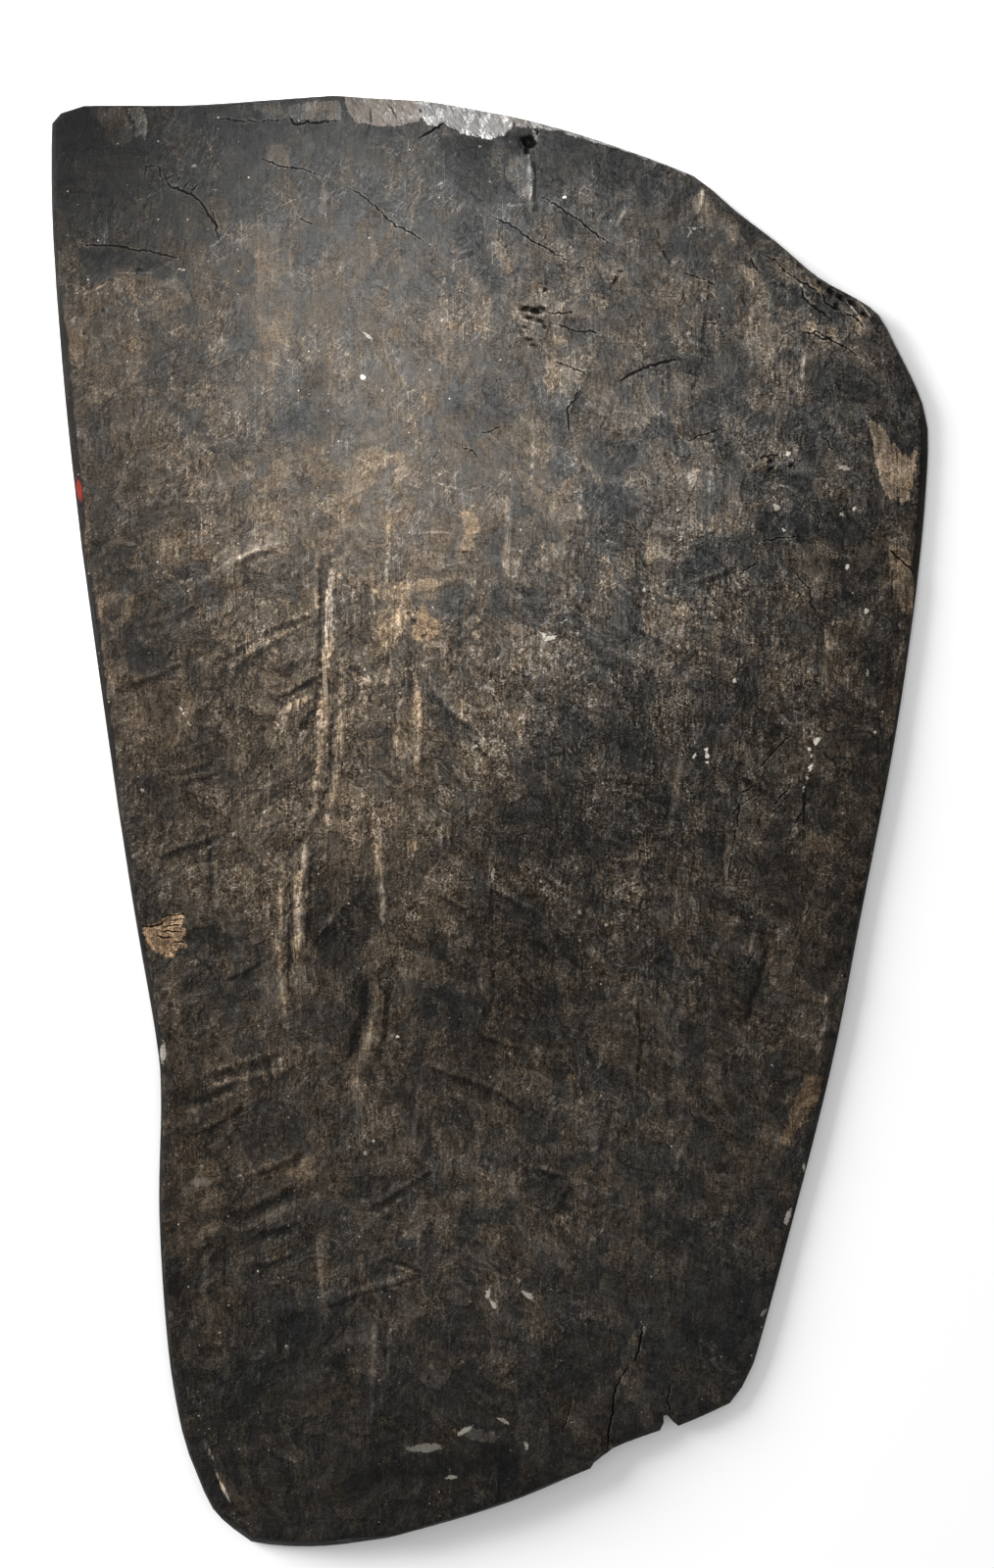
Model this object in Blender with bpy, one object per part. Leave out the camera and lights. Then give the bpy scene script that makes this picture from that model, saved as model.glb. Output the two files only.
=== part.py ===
"""Fighting shield, hewn from one plank of dark wood.

The board lies on its hollowed back with its worked face up. +X runs to the right across the face,
+Y runs to the broad top end, and +Z stands up off the face. The origin is on the floor, under the
middle of the board's box. Lengths are in metres.
"""

import math
from collections import namedtuple

import bmesh
import bpy
import numpy as np
from mathutils import Vector
from mathutils.geometry import delaunay_2d_cdt

# Overall sizes
HEIGHT = 1.300
WIDTH = 0.787

# Section of the plank: thin edges, a crowned face, and a hollowed back with a planed flat. The plank
# thins at both ends, by a power of the distance from its middle.
EDGE_THICKNESS = 0.015
CROWN = 0.018
END_THINNING = 0.004
END_SHARPNESS = 6
BACK_HOLLOW = 0.010
BACK_FLAT_HEIGHT = 0.008

# Worn rim of the face and the small arris of the back. The rim narrows towards the top end, between
# two shares of the height from the middle. RIM_LEVELS are the shares of its width that carry points.
RIM_WIDTH_TOP = 0.005
RIM_WIDTH_LOW = 0.009
RIM_NARROWS = (0.30, 0.45)
RIM_DROP = 0.0075
RIM_LEVELS = (0.12, 0.45, 1.0)
BACK_ARRIS = 0.0025
LEAST_WALL = 0.003

# Split at the lower end, and the steep broken stretch of the top edge
NOTCH_WIDTH = 0.017
NOTCH_DEPTH = 0.013
NOTCH_SHAPE = ((0.5, 0.0), (0.3, 0.4), (0.12, 0.95), (-0.1, 1.0), (-0.2, 0.5), (-0.5, 0.1))
CHIP_SLOPE = 0.50

# Broad waves that the adze left across the face, rising from both sides towards the middle line
ADZE_DEPTH = 0.0009
ADZE_PITCH_ACROSS = 0.170
ADZE_PITCH_ALONG = 0.210
ADZE_RISE = 0.5

# Spacing of the points that carry the solid
OUTLINE_PITCH = 0.016
FACE_PITCH = 0.027
BACK_PITCH = 0.050
CHIP_PITCH = 0.012
INSET_ROOM = 0.9
MERGE_DISTANCE = 0.000001

# Edges that turn more sharply than this stay crisp
CREASE = math.radians(35)

# The outline, clockwise from the upper left corner, in percent of the width and of the height from
# the middle of the board
TOP_RUN = [
    (-49.9, 46.6), (-49.8, 48.3), (-48.8, 49.0), (-46.2, 49.5), (-33.5, 49.5), (-20.1, 50.0),
    (-15.8, 50.0), (-5.3, 49.5), (5.8, 48.1), (14.5, 46.5), (23.2, 44.5), (25.4, 43.5),
    (28.0, 42.1), (32.8, 39.9), (37.3, 37.6), (41.8, 36.1), (44.3, 35.0), (46.2, 32.9),
    (48.7, 29.9), (49.7, 28.0),
]
RIGHT_RUN = [
    (50.0, 25.6), (49.0, 17.8), (46.4, 6.4), (42.3, -6.6), (38.9, -17.1), (33.8, -29.3),
    (30.1, -37.4),
]
STEP_LIP = (11.9, -44.1)
STEP_FOOT = (11.5, -44.5)
LOW_RUN = [
    (28.8, -39.0), (27.4, -40.1), (25.6, -40.6), (21.6, -41.6), (18.9, -42.0), (14.0, -43.1),
    STEP_LIP, STEP_FOOT, (1.5, -47.0), (-11.7, -49.3), (-20.2, -50.0), (-27.1, -49.7),
    (-29.2, -48.8), (-31.5, -47.4), (-33.4, -44.9),
]
LEFT_RUN = [
    (-35.0, -42.1), (-36.6, -36.3), (-37.6, -27.1), (-37.4, -19.0), (-38.0, -14.7), (-41.2, -3.3),
    (-45.8, 16.1), (-48.3, 29.1), (-49.7, 40.5),
]
CORNERS = {STEP_LIP, STEP_FOOT}
NOTCH_PLACE = (20.4, -41.7)

# The plank's straight sides run on past its cut corners, which keeps its bow even to the ends
RIGHT_SIDE_END = (50.0, 50.0)
LEFT_SIDE_END = (-34.0, -50.0)
SIDE_DEGREE = 3

# Inner edge of the broken stretch along the top, in the same percents, from left to right
CHIP_EDGE = [
    (-17.2, 49.9), (-14.1, 47.9), (-8.5, 47.9), (-7.8, 48.7), (-5.1, 47.6), (0.8, 46.9),
    (2.2, 47.7), (7.9, 47.3), (12.2, 46.5), (16.7, 45.8), (21.4, 44.8), (23.2, 44.4),
]

# Dents, scars and lost flakes of the face: place in percent, radii and depth in metres, and the
# lean of the long radius from +X in degrees
Hollow = namedtuple("Hollow", "x y long short lean depth")
HOLLOWS = [
    Hollow(4.5, 46.7, 0.009, 0.008, 0, 0.0080),
    Hollow(3.3, 45.3, 0.025, 0.011, 85, 0.0015),
    Hollow(5.1, 34.9, 0.014, 0.006, -6, 0.0050),
    Hollow(-37.4, -7.9, 0.022, 0.019, 10, 0.0030),
    Hollow(15.3, -39.2, 0.062, 0.010, 74, 0.0030),
    Hollow(38.8, 35.9, 0.030, 0.009, -36, 0.0025),
]
HOLLOW_LEVELS = ((0.5, 6), (1.0, 10))
HOLLOW_CLEAR = 0.010

WOOD_COLOUR = (0.070, 0.061, 0.052, 1.0)
WOOD_ROUGHNESS = 0.55


def clear_scene():
    for old in list(bpy.data.objects):
        bpy.data.objects.remove(old, do_unlink=True)


def placed(shares):
    """Points given in percent of the width and height, as metres from the middle of the board."""
    return np.array(shares, float) * (WIDTH, HEIGHT) / 100


def span(before, start, end, after, steps):
    """A Catmull-Rom curve from start up to, but not including, end."""
    t = (np.arange(steps) / steps)[:, None]
    return 0.5 * (
        2 * start
        + (end - before) * t
        + (2 * before - 5 * start + 4 * end - after) * t**2
        + (3 * start - before - 3 * end + after) * t**3
    )


def cut_notch(loop):
    """Opens the notch at its place on the loop, which runs clockwise."""
    place = placed([NOTCH_PLACE])[0]
    nearest = int(np.hypot(*(loop - place).T).argmin())
    back = loop[nearest - 1] - loop[(nearest + 1) % len(loop)]
    back /= np.hypot(*back)
    inward = np.array((-back[1], back[0]))
    place = place + inward * ((loop[nearest] - place) @ inward)
    notch = [place + back * a * NOTCH_WIDTH + inward * d * NOTCH_DEPTH for a, d in NOTCH_SHAPE]
    forward = -(loop - place) @ back
    near = np.hypot(*(loop - place).T) < NOTCH_WIDTH + OUTLINE_PITCH
    within = near & (np.abs(forward) < NOTCH_WIDTH)
    first, last = np.flatnonzero(within)[[0, -1]]
    return np.vstack([loop[:first], notch, loop[last + 1:]])


def outline():
    """The board's outline seen from above, clockwise, filling WIDTH by HEIGHT about the origin."""
    shares = TOP_RUN + RIGHT_RUN + LOW_RUN + LEFT_RUN
    anchors = placed(shares)
    count = len(anchors)
    parts = []
    for i, start in enumerate(anchors):
        end = anchors[(i + 1) % count]
        before = start if shares[i] in CORNERS else anchors[i - 1]
        after = end if shares[(i + 1) % count] in CORNERS else anchors[(i + 2) % count]
        steps = max(1, round(np.hypot(*(end - start)) / OUTLINE_PITCH))
        parts.append(span(before, start, end, after, steps))
    loop = np.vstack(parts)
    low, high = loop.min(axis=0), loop.max(axis=0)
    loop = (loop - (low + high) / 2) * (WIDTH, HEIGHT) / (high - low)
    return cut_notch(loop)


def distance_to(loop, points):
    """How far each point is from the closed loop."""
    starts = loop
    runs = np.roll(loop, -1, axis=0) - starts
    lengths = (runs**2).sum(axis=1)
    offsets = points[:, None, :] - starts[None]
    along = np.clip((offsets * runs[None]).sum(axis=2) / lengths, 0, 1)
    return np.sqrt(((offsets - along[..., None] * runs) ** 2).sum(axis=2).min(axis=1))


def inside(loop, points):
    """Which points lie inside the loop, by counting crossings of a line that runs along +X."""
    x, y = points[:, :1], points[:, 1:]
    ax, ay = loop[:, 0], loop[:, 1]
    bx, by = np.roll(ax, -1), np.roll(ay, -1)
    spans = (ay > y) != (by > y)
    rise = np.where(by == ay, 1.0, by - ay)
    crossing = ax + (y - ay) * (bx - ax) / rise
    return (spans & (x < crossing)).sum(axis=1) % 2 == 1


def smooth_step(value, low, high):
    t = np.clip((value - low) / (high - low), 0, 1)
    return t * t * (3 - 2 * t)


def side_fit(run):
    """A smooth line through one side of the board: x as a polynomial in y."""
    points = placed(run)
    return np.polyfit(points[:, 1], points[:, 0], SIDE_DEGREE)


LEFT_SIDE = side_fit([LEFT_SIDE_END] + LEFT_RUN)
RIGHT_SIDE = side_fit(RIGHT_RUN + [RIGHT_SIDE_END])


def bow(x, y):
    """1 along the middle of the plank, falling to 0 at both long sides."""
    left = np.polyval(LEFT_SIDE, y)
    right = np.polyval(RIGHT_SIDE, y)
    across = (2 * x - left - right) / (right - left)
    return np.clip(1 - across**2, 0, 1)


def back_height(x, y, edge_distance):
    hollow = np.minimum(BACK_HOLLOW * bow(x, y), BACK_FLAT_HEIGHT)
    return hollow + np.clip(BACK_ARRIS - edge_distance, 0, None)


def rim_width(y):
    narrowed = smooth_step(y / HEIGHT, *RIM_NARROWS)
    return RIM_WIDTH_LOW + (RIM_WIDTH_TOP - RIM_WIDTH_LOW) * narrowed


def adze_waves(x, y):
    across = np.cos(math.tau * x / ADZE_PITCH_ACROSS)
    along = np.cos(math.tau * (y + ADZE_RISE * abs(x)) / ADZE_PITCH_ALONG)
    return ADZE_DEPTH * (across * along - 1) / 2


def chip_drop(x, y):
    """How far the broken top edge lies under the face."""
    edge = placed(CHIP_EDGE)
    beyond = y - np.interp(x, edge[:, 0], edge[:, 1])
    within = (x > edge[0, 0]) & (x < edge[-1, 0])
    return np.where(within, CHIP_SLOPE * np.clip(beyond, 0, None), 0)


def hollow_drop(x, y):
    total = np.zeros_like(x)
    for hollow in HOLLOWS:
        centre = placed([(hollow.x, hollow.y)])[0]
        lean = math.radians(hollow.lean)
        dx, dy = x - centre[0], y - centre[1]
        along = (dx * math.cos(lean) + dy * math.sin(lean)) / hollow.long
        across = (dy * math.cos(lean) - dx * math.sin(lean)) / hollow.short
        total += hollow.depth * np.clip(1 - along**2 - across**2, 0, None)
    return total


def face_height(x, y, edge_distance):
    thinned = END_THINNING * np.abs(2 * y / HEIGHT) ** END_SHARPNESS
    face = EDGE_THICKNESS + CROWN * bow(x, y) - thinned + adze_waves(x, y)
    inward = np.clip(1 - edge_distance / rim_width(y), 0, 1)
    worn = RIM_DROP * (1 - np.sqrt(1 - inward**2))
    height = face - np.maximum(worn, chip_drop(x, y)) - hollow_drop(x, y)
    return np.maximum(height, back_height(x, y, edge_distance) + LEAST_WALL)


def inset(loop, distances):
    """The loop's points moved inwards, without those that come too near another stretch."""
    runs = np.roll(loop, -1, axis=0) - np.roll(loop, 1, axis=0)
    inward = np.column_stack([runs[:, 1], -runs[:, 0]]) / np.hypot(*runs.T)[:, None]
    moved = loop + inward * distances[:, None]
    good = inside(loop, moved) & (distance_to(loop, moved) > INSET_ROOM * distances)
    return moved[good]


def grid_points(loop, pitch, clear):
    """A triangular grid inside the loop, at least clear away from it."""
    row_step = pitch * math.sqrt(3) / 2
    rows = math.ceil(HEIGHT / 2 / row_step)
    columns = math.ceil(WIDTH / 2 / pitch) + 1
    points = [
        ((column + 0.5 * (row % 2)) * pitch, row * row_step)
        for row in range(-rows, rows + 1)
        for column in range(-columns, columns + 1)
    ]
    points = np.array(points)
    return points[inside(loop, points) & (distance_to(loop, points) > clear)]


def hollow_points():
    points = []
    for hollow in HOLLOWS:
        centre = placed([(hollow.x, hollow.y)])[0]
        lean = math.radians(hollow.lean)
        points.append(centre)
        for level, count in HOLLOW_LEVELS:
            for i in range(count):
                turn = math.tau * i / count
                along = level * hollow.long * math.cos(turn)
                across = level * hollow.short * math.sin(turn)
                dx = along * math.cos(lean) - across * math.sin(lean)
                dy = along * math.sin(lean) + across * math.cos(lean)
                points.append(centre + (dx, dy))
    return np.array(points)


def chip_points():
    edge = placed(CHIP_EDGE)
    points = []
    for start, end in zip(edge[:-1], edge[1:]):
        steps = max(1, round(np.hypot(*(end - start)) / CHIP_PITCH))
        for i in range(steps):
            points.append(start + (end - start) * i / steps)
    return np.array(points[1:])


def apart_from(points, others, clear):
    gaps = np.hypot(*(points[:, None, :] - others[None]).transpose(2, 0, 1))
    return points[gaps.min(axis=1) > clear]


def face_points(loop):
    rings = [inset(loop, level * rim_width(loop[:, 1])) for level in RIM_LEVELS]
    details = np.vstack([hollow_points(), chip_points()])
    details = details[inside(loop, details) & (distance_to(loop, details) > RIM_WIDTH_TOP / 2)]
    rings = [apart_from(ring, details, RIM_WIDTH_TOP / 2) for ring in rings]
    grid = grid_points(loop, FACE_PITCH, RIM_WIDTH_LOW + FACE_PITCH / 2)
    return np.vstack(rings + [details, apart_from(grid, details, HOLLOW_CLEAR)])


def back_points(loop):
    ring = inset(loop, np.full(len(loop), BACK_ARRIS))
    return np.vstack([ring, grid_points(loop, BACK_PITCH, BACK_PITCH / 2)])


def add_side(mesh, loop, inner, height):
    """Adds one triangulated side of the board, and returns its vertices along the outline."""
    count = len(loop)
    points = [Vector(p) for p in np.vstack([loop, inner])]
    edges = [(i, (i + 1) % count) for i in range(count)]
    inside_only = 1
    flat, _, faces, sources, _, _ = delaunay_2d_cdt(points, edges, [], inside_only, MERGE_DISTANCE)
    x, y = np.array([p.x for p in flat]), np.array([p.y for p in flat])
    heights = height(x, y, distance_to(loop, np.column_stack([x, y])))
    verts = [mesh.verts.new(p) for p in zip(x, y, heights)]
    for face in faces:
        mesh.faces.new([verts[i] for i in face])
    place = {source: i for i, found in enumerate(sources) for source in found}
    return [verts[place[i]] for i in range(count)]


def wood():
    material = bpy.data.materials.new("dark_wood")
    material.use_nodes = True
    shader = material.node_tree.nodes["Principled BSDF"]
    shader.inputs["Base Color"].default_value = WOOD_COLOUR
    shader.inputs["Roughness"].default_value = WOOD_ROUGHNESS
    shader.inputs["Metallic"].default_value = 0.0
    material.diffuse_color = WOOD_COLOUR
    return material


def shield_board():
    loop = outline()
    mesh = bmesh.new()
    face_rim = add_side(mesh, loop, face_points(loop), face_height)
    back_rim = add_side(mesh, loop, back_points(loop), back_height)
    for i in range(len(loop)):
        j = (i + 1) % len(loop)
        mesh.faces.new([face_rim[i], face_rim[j], back_rim[j], back_rim[i]])
    bmesh.ops.delete(mesh, geom=[v for v in mesh.verts if not v.link_faces], context="VERTS")
    lowest = min(v.co.z for v in mesh.verts)
    bmesh.ops.translate(mesh, verts=mesh.verts, vec=(0, 0, -lowest))
    bmesh.ops.recalc_face_normals(mesh, faces=mesh.faces)
    data = bpy.data.meshes.new("shield_board")
    mesh.to_mesh(data)
    mesh.free()
    data.shade_smooth()
    data.set_sharp_from_angle(angle=CREASE)
    data.materials.append(wood())
    board = bpy.data.objects.new("shield_board", data)
    bpy.context.scene.collection.objects.link(board)
    print("shield_board:", len(data.vertices), "points,", len(data.polygons), "faces")
    return board


clear_scene()
shield_board()
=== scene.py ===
# %% [markdown]
# # A hewn fighting shield
#
# The shield is one thick plank, hewn with an adze, blackened with soot and oil, and worn by long
# handling. It lies on its hollowed back, and the camera looks straight down at its face.
#
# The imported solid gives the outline, the bow and the thickness. This script keeps all three, and makes
# the surface that the solid leaves plain: tool marks, cracks, broken grain, and the brown wood that
# shows where the black has worn off.

# %% Load the frame
import math
import random
from collections import namedtuple

import bmesh
import bpy
import numpy as np
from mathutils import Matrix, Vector, noise


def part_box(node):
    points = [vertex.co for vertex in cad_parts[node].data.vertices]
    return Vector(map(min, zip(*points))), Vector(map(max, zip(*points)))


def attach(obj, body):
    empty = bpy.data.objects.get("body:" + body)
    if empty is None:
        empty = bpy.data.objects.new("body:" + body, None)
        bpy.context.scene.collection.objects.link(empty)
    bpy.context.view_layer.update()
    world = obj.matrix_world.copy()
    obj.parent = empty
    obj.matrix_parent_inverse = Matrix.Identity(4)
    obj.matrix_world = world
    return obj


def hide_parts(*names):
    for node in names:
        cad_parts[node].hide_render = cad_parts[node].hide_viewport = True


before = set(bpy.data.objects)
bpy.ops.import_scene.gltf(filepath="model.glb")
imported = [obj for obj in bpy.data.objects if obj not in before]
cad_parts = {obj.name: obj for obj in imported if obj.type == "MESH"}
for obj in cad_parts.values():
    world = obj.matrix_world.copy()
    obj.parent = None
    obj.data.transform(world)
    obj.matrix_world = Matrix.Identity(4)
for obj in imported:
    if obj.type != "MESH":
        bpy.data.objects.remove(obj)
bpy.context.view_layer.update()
MM = 0.001

# %% [markdown]
# ## From the photograph to the board
#
# Each mark is noted where it shows in the photograph, as a pixel. The board fills a known number of
# those pixels from foot to top, and the frame says how tall it really is, so one division turns every
# pixel into metres. Marks that are read this way stay in place if the board is packed at another size.

# %% Pixels to metres
PHOTO_WIDE = 1014
PHOTO_TALL = 1600
BOARD_TALL = 1478.4
MIDDLE_PIXEL = (499.5, 838.75)
board_low, board_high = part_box("shield_board")
PIXEL = (board_high.y - board_low.y) / BOARD_TALL


def at(u, v):
    """The place on the board, in metres, that one pixel of the photograph shows."""
    return (u - MIDDLE_PIXEL[0]) * PIXEL, (MIDDLE_PIXEL[1] - v) * PIXEL


print("one pixel is", round(PIXEL / MM, 4), "mm of board")

# %% [markdown]
# ## Camera
#
# The board lies flat, so the view of it standing upright is a view from straight above. The camera
# stands well back and its lens is long enough for the picture to frame the board as the photograph
# does. The lens is worked out for the height of the worn edge, which draws the silhouette.

# %% Camera
CAMERA_HEIGHT = 3.6
SENSOR = 36.0
EDGE_LEVEL = 0.0075

bpy.ops.object.select_all(action="DESELECT")
middle_x, middle_y = at(PHOTO_WIDE / 2, PHOTO_TALL / 2)
bpy.ops.object.camera_add(location=(middle_x, middle_y, CAMERA_HEIGHT), rotation=(0, 0, 0))
camera = bpy.context.object
camera.name = "camera_above"
camera.data.sensor_width = SENSOR
camera.data.lens = SENSOR * (CAMERA_HEIGHT - EDGE_LEVEL) / (PHOTO_TALL * PIXEL)
bpy.context.scene.camera = camera
print("lens", round(camera.data.lens, 1), "mm at", CAMERA_HEIGHT, "m")

# %% [markdown]
# ## Floor and light
#
# A dark, half-matt board needs light from two directions. A wide soft box, low and far off at the upper
# left, rakes over the tool marks and lays a soft shadow to the right. A small lamp with a narrow beam
# hangs over the upper part of the board and gives the pale sheen on its bow. An even sky fills the rest.

# %% Floor and light
FLOOR_SIZE = 9.0
FLOOR_COLOUR = (0.90, 0.90, 0.90, 1.0)
PAPER_ROUGHNESS = 0.9
SKY_COLOUR = (1.0, 1.0, 1.0, 1.0)
SKY_STRENGTH = 0.66
SHEEN_BEAM = math.radians(46)

bpy.ops.mesh.primitive_plane_add(size=FLOOR_SIZE, location=(0, 0, 0))
floor = bpy.context.object
floor.name = "pale_floor"
paper = bpy.data.materials.new("pale_floor")
paper.use_nodes = True
matt = paper.node_tree.nodes["Principled BSDF"].inputs
matt["Base Color"].default_value = FLOOR_COLOUR
matt["Roughness"].default_value = PAPER_ROUGHNESS
matt["Specular IOR Level"].default_value = 0.0
floor.data.materials.append(paper)

sky = bpy.data.worlds.new("even_sky")
sky.use_nodes = True
glow = sky.node_tree.nodes["Background"].inputs
glow["Color"].default_value = SKY_COLOUR
glow["Strength"].default_value = SKY_STRENGTH
bpy.context.scene.world = sky
bpy.context.scene.view_settings.view_transform = "Standard"


def soft_box(name, place, aim, size, power):
    """A square area light that faces its aim."""
    facing = Vector(aim) - Vector(place)
    turn = facing.to_track_quat("-Z", "Y").to_euler()
    bpy.ops.object.light_add(type="AREA", location=place, rotation=turn)
    lamp = bpy.context.object
    lamp.name = name
    lamp.data.shape = "SQUARE"
    lamp.data.size = size
    lamp.data.energy = power
    return lamp


soft_box("raking_soft_box", place=(-6.1, 2.9, 2.9), aim=(0, 0, 0), size=3.8, power=800)
sheen_lamp = soft_box("sheen_lamp", place=(-0.144, 0.532, 1.15), aim=(-0.109, 0.403, 0), size=0.3, power=2.2)
sheen_lamp.data.spread = SHEEN_BEAM
sheen_lamp.visible_camera = False

# %% [markdown]
# ## The board's own mesh
#
# The solid's mesh is loose triangles and belongs to the frame, so a copy of it is made and its shared
# points are merged. Each face then gets a material place by the way it looks: up for the worked face,
# sideways for the wall, down for the back. New faces that are cut later inherit that place, so it also
# serves to tell the three apart.

# %% Copy and merge
FACE, WALL, BACK = 0, 1, 2
MERGE_DISTANCE = 0.001 * MM
WALL_TILT = 0.01

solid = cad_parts["shield_board"]
board = bpy.data.objects.new("fighting_shield", solid.data.copy())
bpy.context.scene.collection.objects.link(board)
board.data.materials.clear()
for name in ("worn_face", "side_wall", "plain_back"):
    board.data.materials.append(bpy.data.materials.new(name))


def only(piece):
    """Selects one piece and nothing else, and makes it the active one."""
    bpy.ops.object.select_all(action="DESELECT")
    piece.select_set(True)
    bpy.context.view_layer.objects.active = piece


only(board)
bpy.ops.object.mode_set(mode="EDIT")
bpy.ops.mesh.select_all(action="SELECT")
bpy.ops.mesh.remove_doubles(threshold=MERGE_DISTANCE)
bpy.ops.mesh.customdata_custom_splitnormals_clear()
bpy.ops.object.mode_set(mode="OBJECT")
for polygon in board.data.polygons:
    rise = polygon.normal.z
    polygon.material_index = WALL if abs(rise) < WALL_TILT else FACE if rise > 0 else BACK
print("board:", len(board.data.vertices), "points,", len(board.data.polygons), "faces")

# %% [markdown]
# ## Reading the mesh
#
# Most choices below are made by place: which faces are near a crack, which points are near the edge.
# These helpers read the mesh into arrays, walk round the outline, and measure how far points lie from
# a line.

# %% Arrays, outline and distances


def read(items, field, kind, width=1):
    """One field of every point or face, as an array with that many numbers in each row."""
    found = np.empty(len(items) * width, kind)
    items.foreach_get(field, found)
    return found.reshape(-1, width) if width > 1 else found


def points_of(piece):
    """Every point of the piece, as x, y, z."""
    return read(piece.data.vertices, "co", np.float32, 3).astype(float)


def sides_of(piece):
    """The material place of every face."""
    return read(piece.data.polygons, "material_index", np.int32)


def centres_of(piece):
    """The middle of every face, as x, y."""
    return read(piece.data.polygons, "center", np.float32, 3).astype(float)[:, :2]


def walk_outline(piece):
    """The loop where the face meets the wall, as x, y points in order."""
    form = bmesh.new()
    form.from_mesh(piece.data)
    wanted = {FACE, WALL}
    rim = [e for e in form.edges if {f.material_index for f in e.link_faces} == wanted]
    neighbours = {}
    for edge in rim:
        a, b = edge.verts
        neighbours.setdefault(a, []).append(b)
        neighbours.setdefault(b, []).append(a)
    first = rim[0].verts[0]
    loop, last = [first], None
    while True:
        steps = [v for v in neighbours[loop[-1]] if v is not last]
        last = loop[-1]
        if steps[0] is first:
            break
        loop.append(steps[0])
    places = np.array([(v.co.x, v.co.y) for v in loop])
    form.free()
    return places


def follow(points, line):
    """For each point: its distance from the line, its offset to the left of it, and its share along."""
    starts, runs = line[:-1], np.diff(line, axis=0)
    lengths = np.hypot(*runs.T)
    gap = points[:, None] - starts
    share = np.clip((gap * runs).sum(2) / lengths**2, 0, 1)
    away = gap - share[..., None] * runs
    reach = np.hypot(away[..., 0], away[..., 1])
    nearest = reach.argmin(1)
    each = np.arange(len(points))
    turned = runs[nearest, 0] * gap[each, nearest, 1] - runs[nearest, 1] * gap[each, nearest, 0]
    travelled = np.concatenate([[0], np.cumsum(lengths)])
    along = (travelled[nearest] + share[each, nearest] * lengths[nearest]) / travelled[-1]
    distance = reach[each, nearest]
    return distance, np.where(turned < 0, -distance, distance), along


def edge_distance(points, block=20000):
    """How far each point lies inside the outline."""
    closed = np.vstack([outline, outline[:1]])
    parts = [follow(points[i:i + block], closed)[0] for i in range(0, len(points), block)]
    return np.concatenate(parts)


outline = walk_outline(board)
print("outline:", len(outline), "points")

# %% [markdown]
# ## Cracks, cuts and streaks as lines
#
# A crack is a thin ragged line. A stroke is the scar of one blow of the adze: a cut with a raised lip beside
# it, painted with shade on the cut's side and with a highlight on the lip. A streak is a rubbed fibre that
# runs down the grain, and a groove is its dark counterpart.
# All four are lines of a few points, so one kind of record holds them. Each row below is one line: its
# half width in pixels, its depth in millimetres, and then u and v of each of its points in turn.

# %% A record for lines
Line = namedtuple("Line", "wide deep points")


def lines_of(*rows):
    """Line records from rows of numbers."""
    return [Line(row[0], row[1], list(zip(row[2::2], row[3::2]))) for row in rows]


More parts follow.
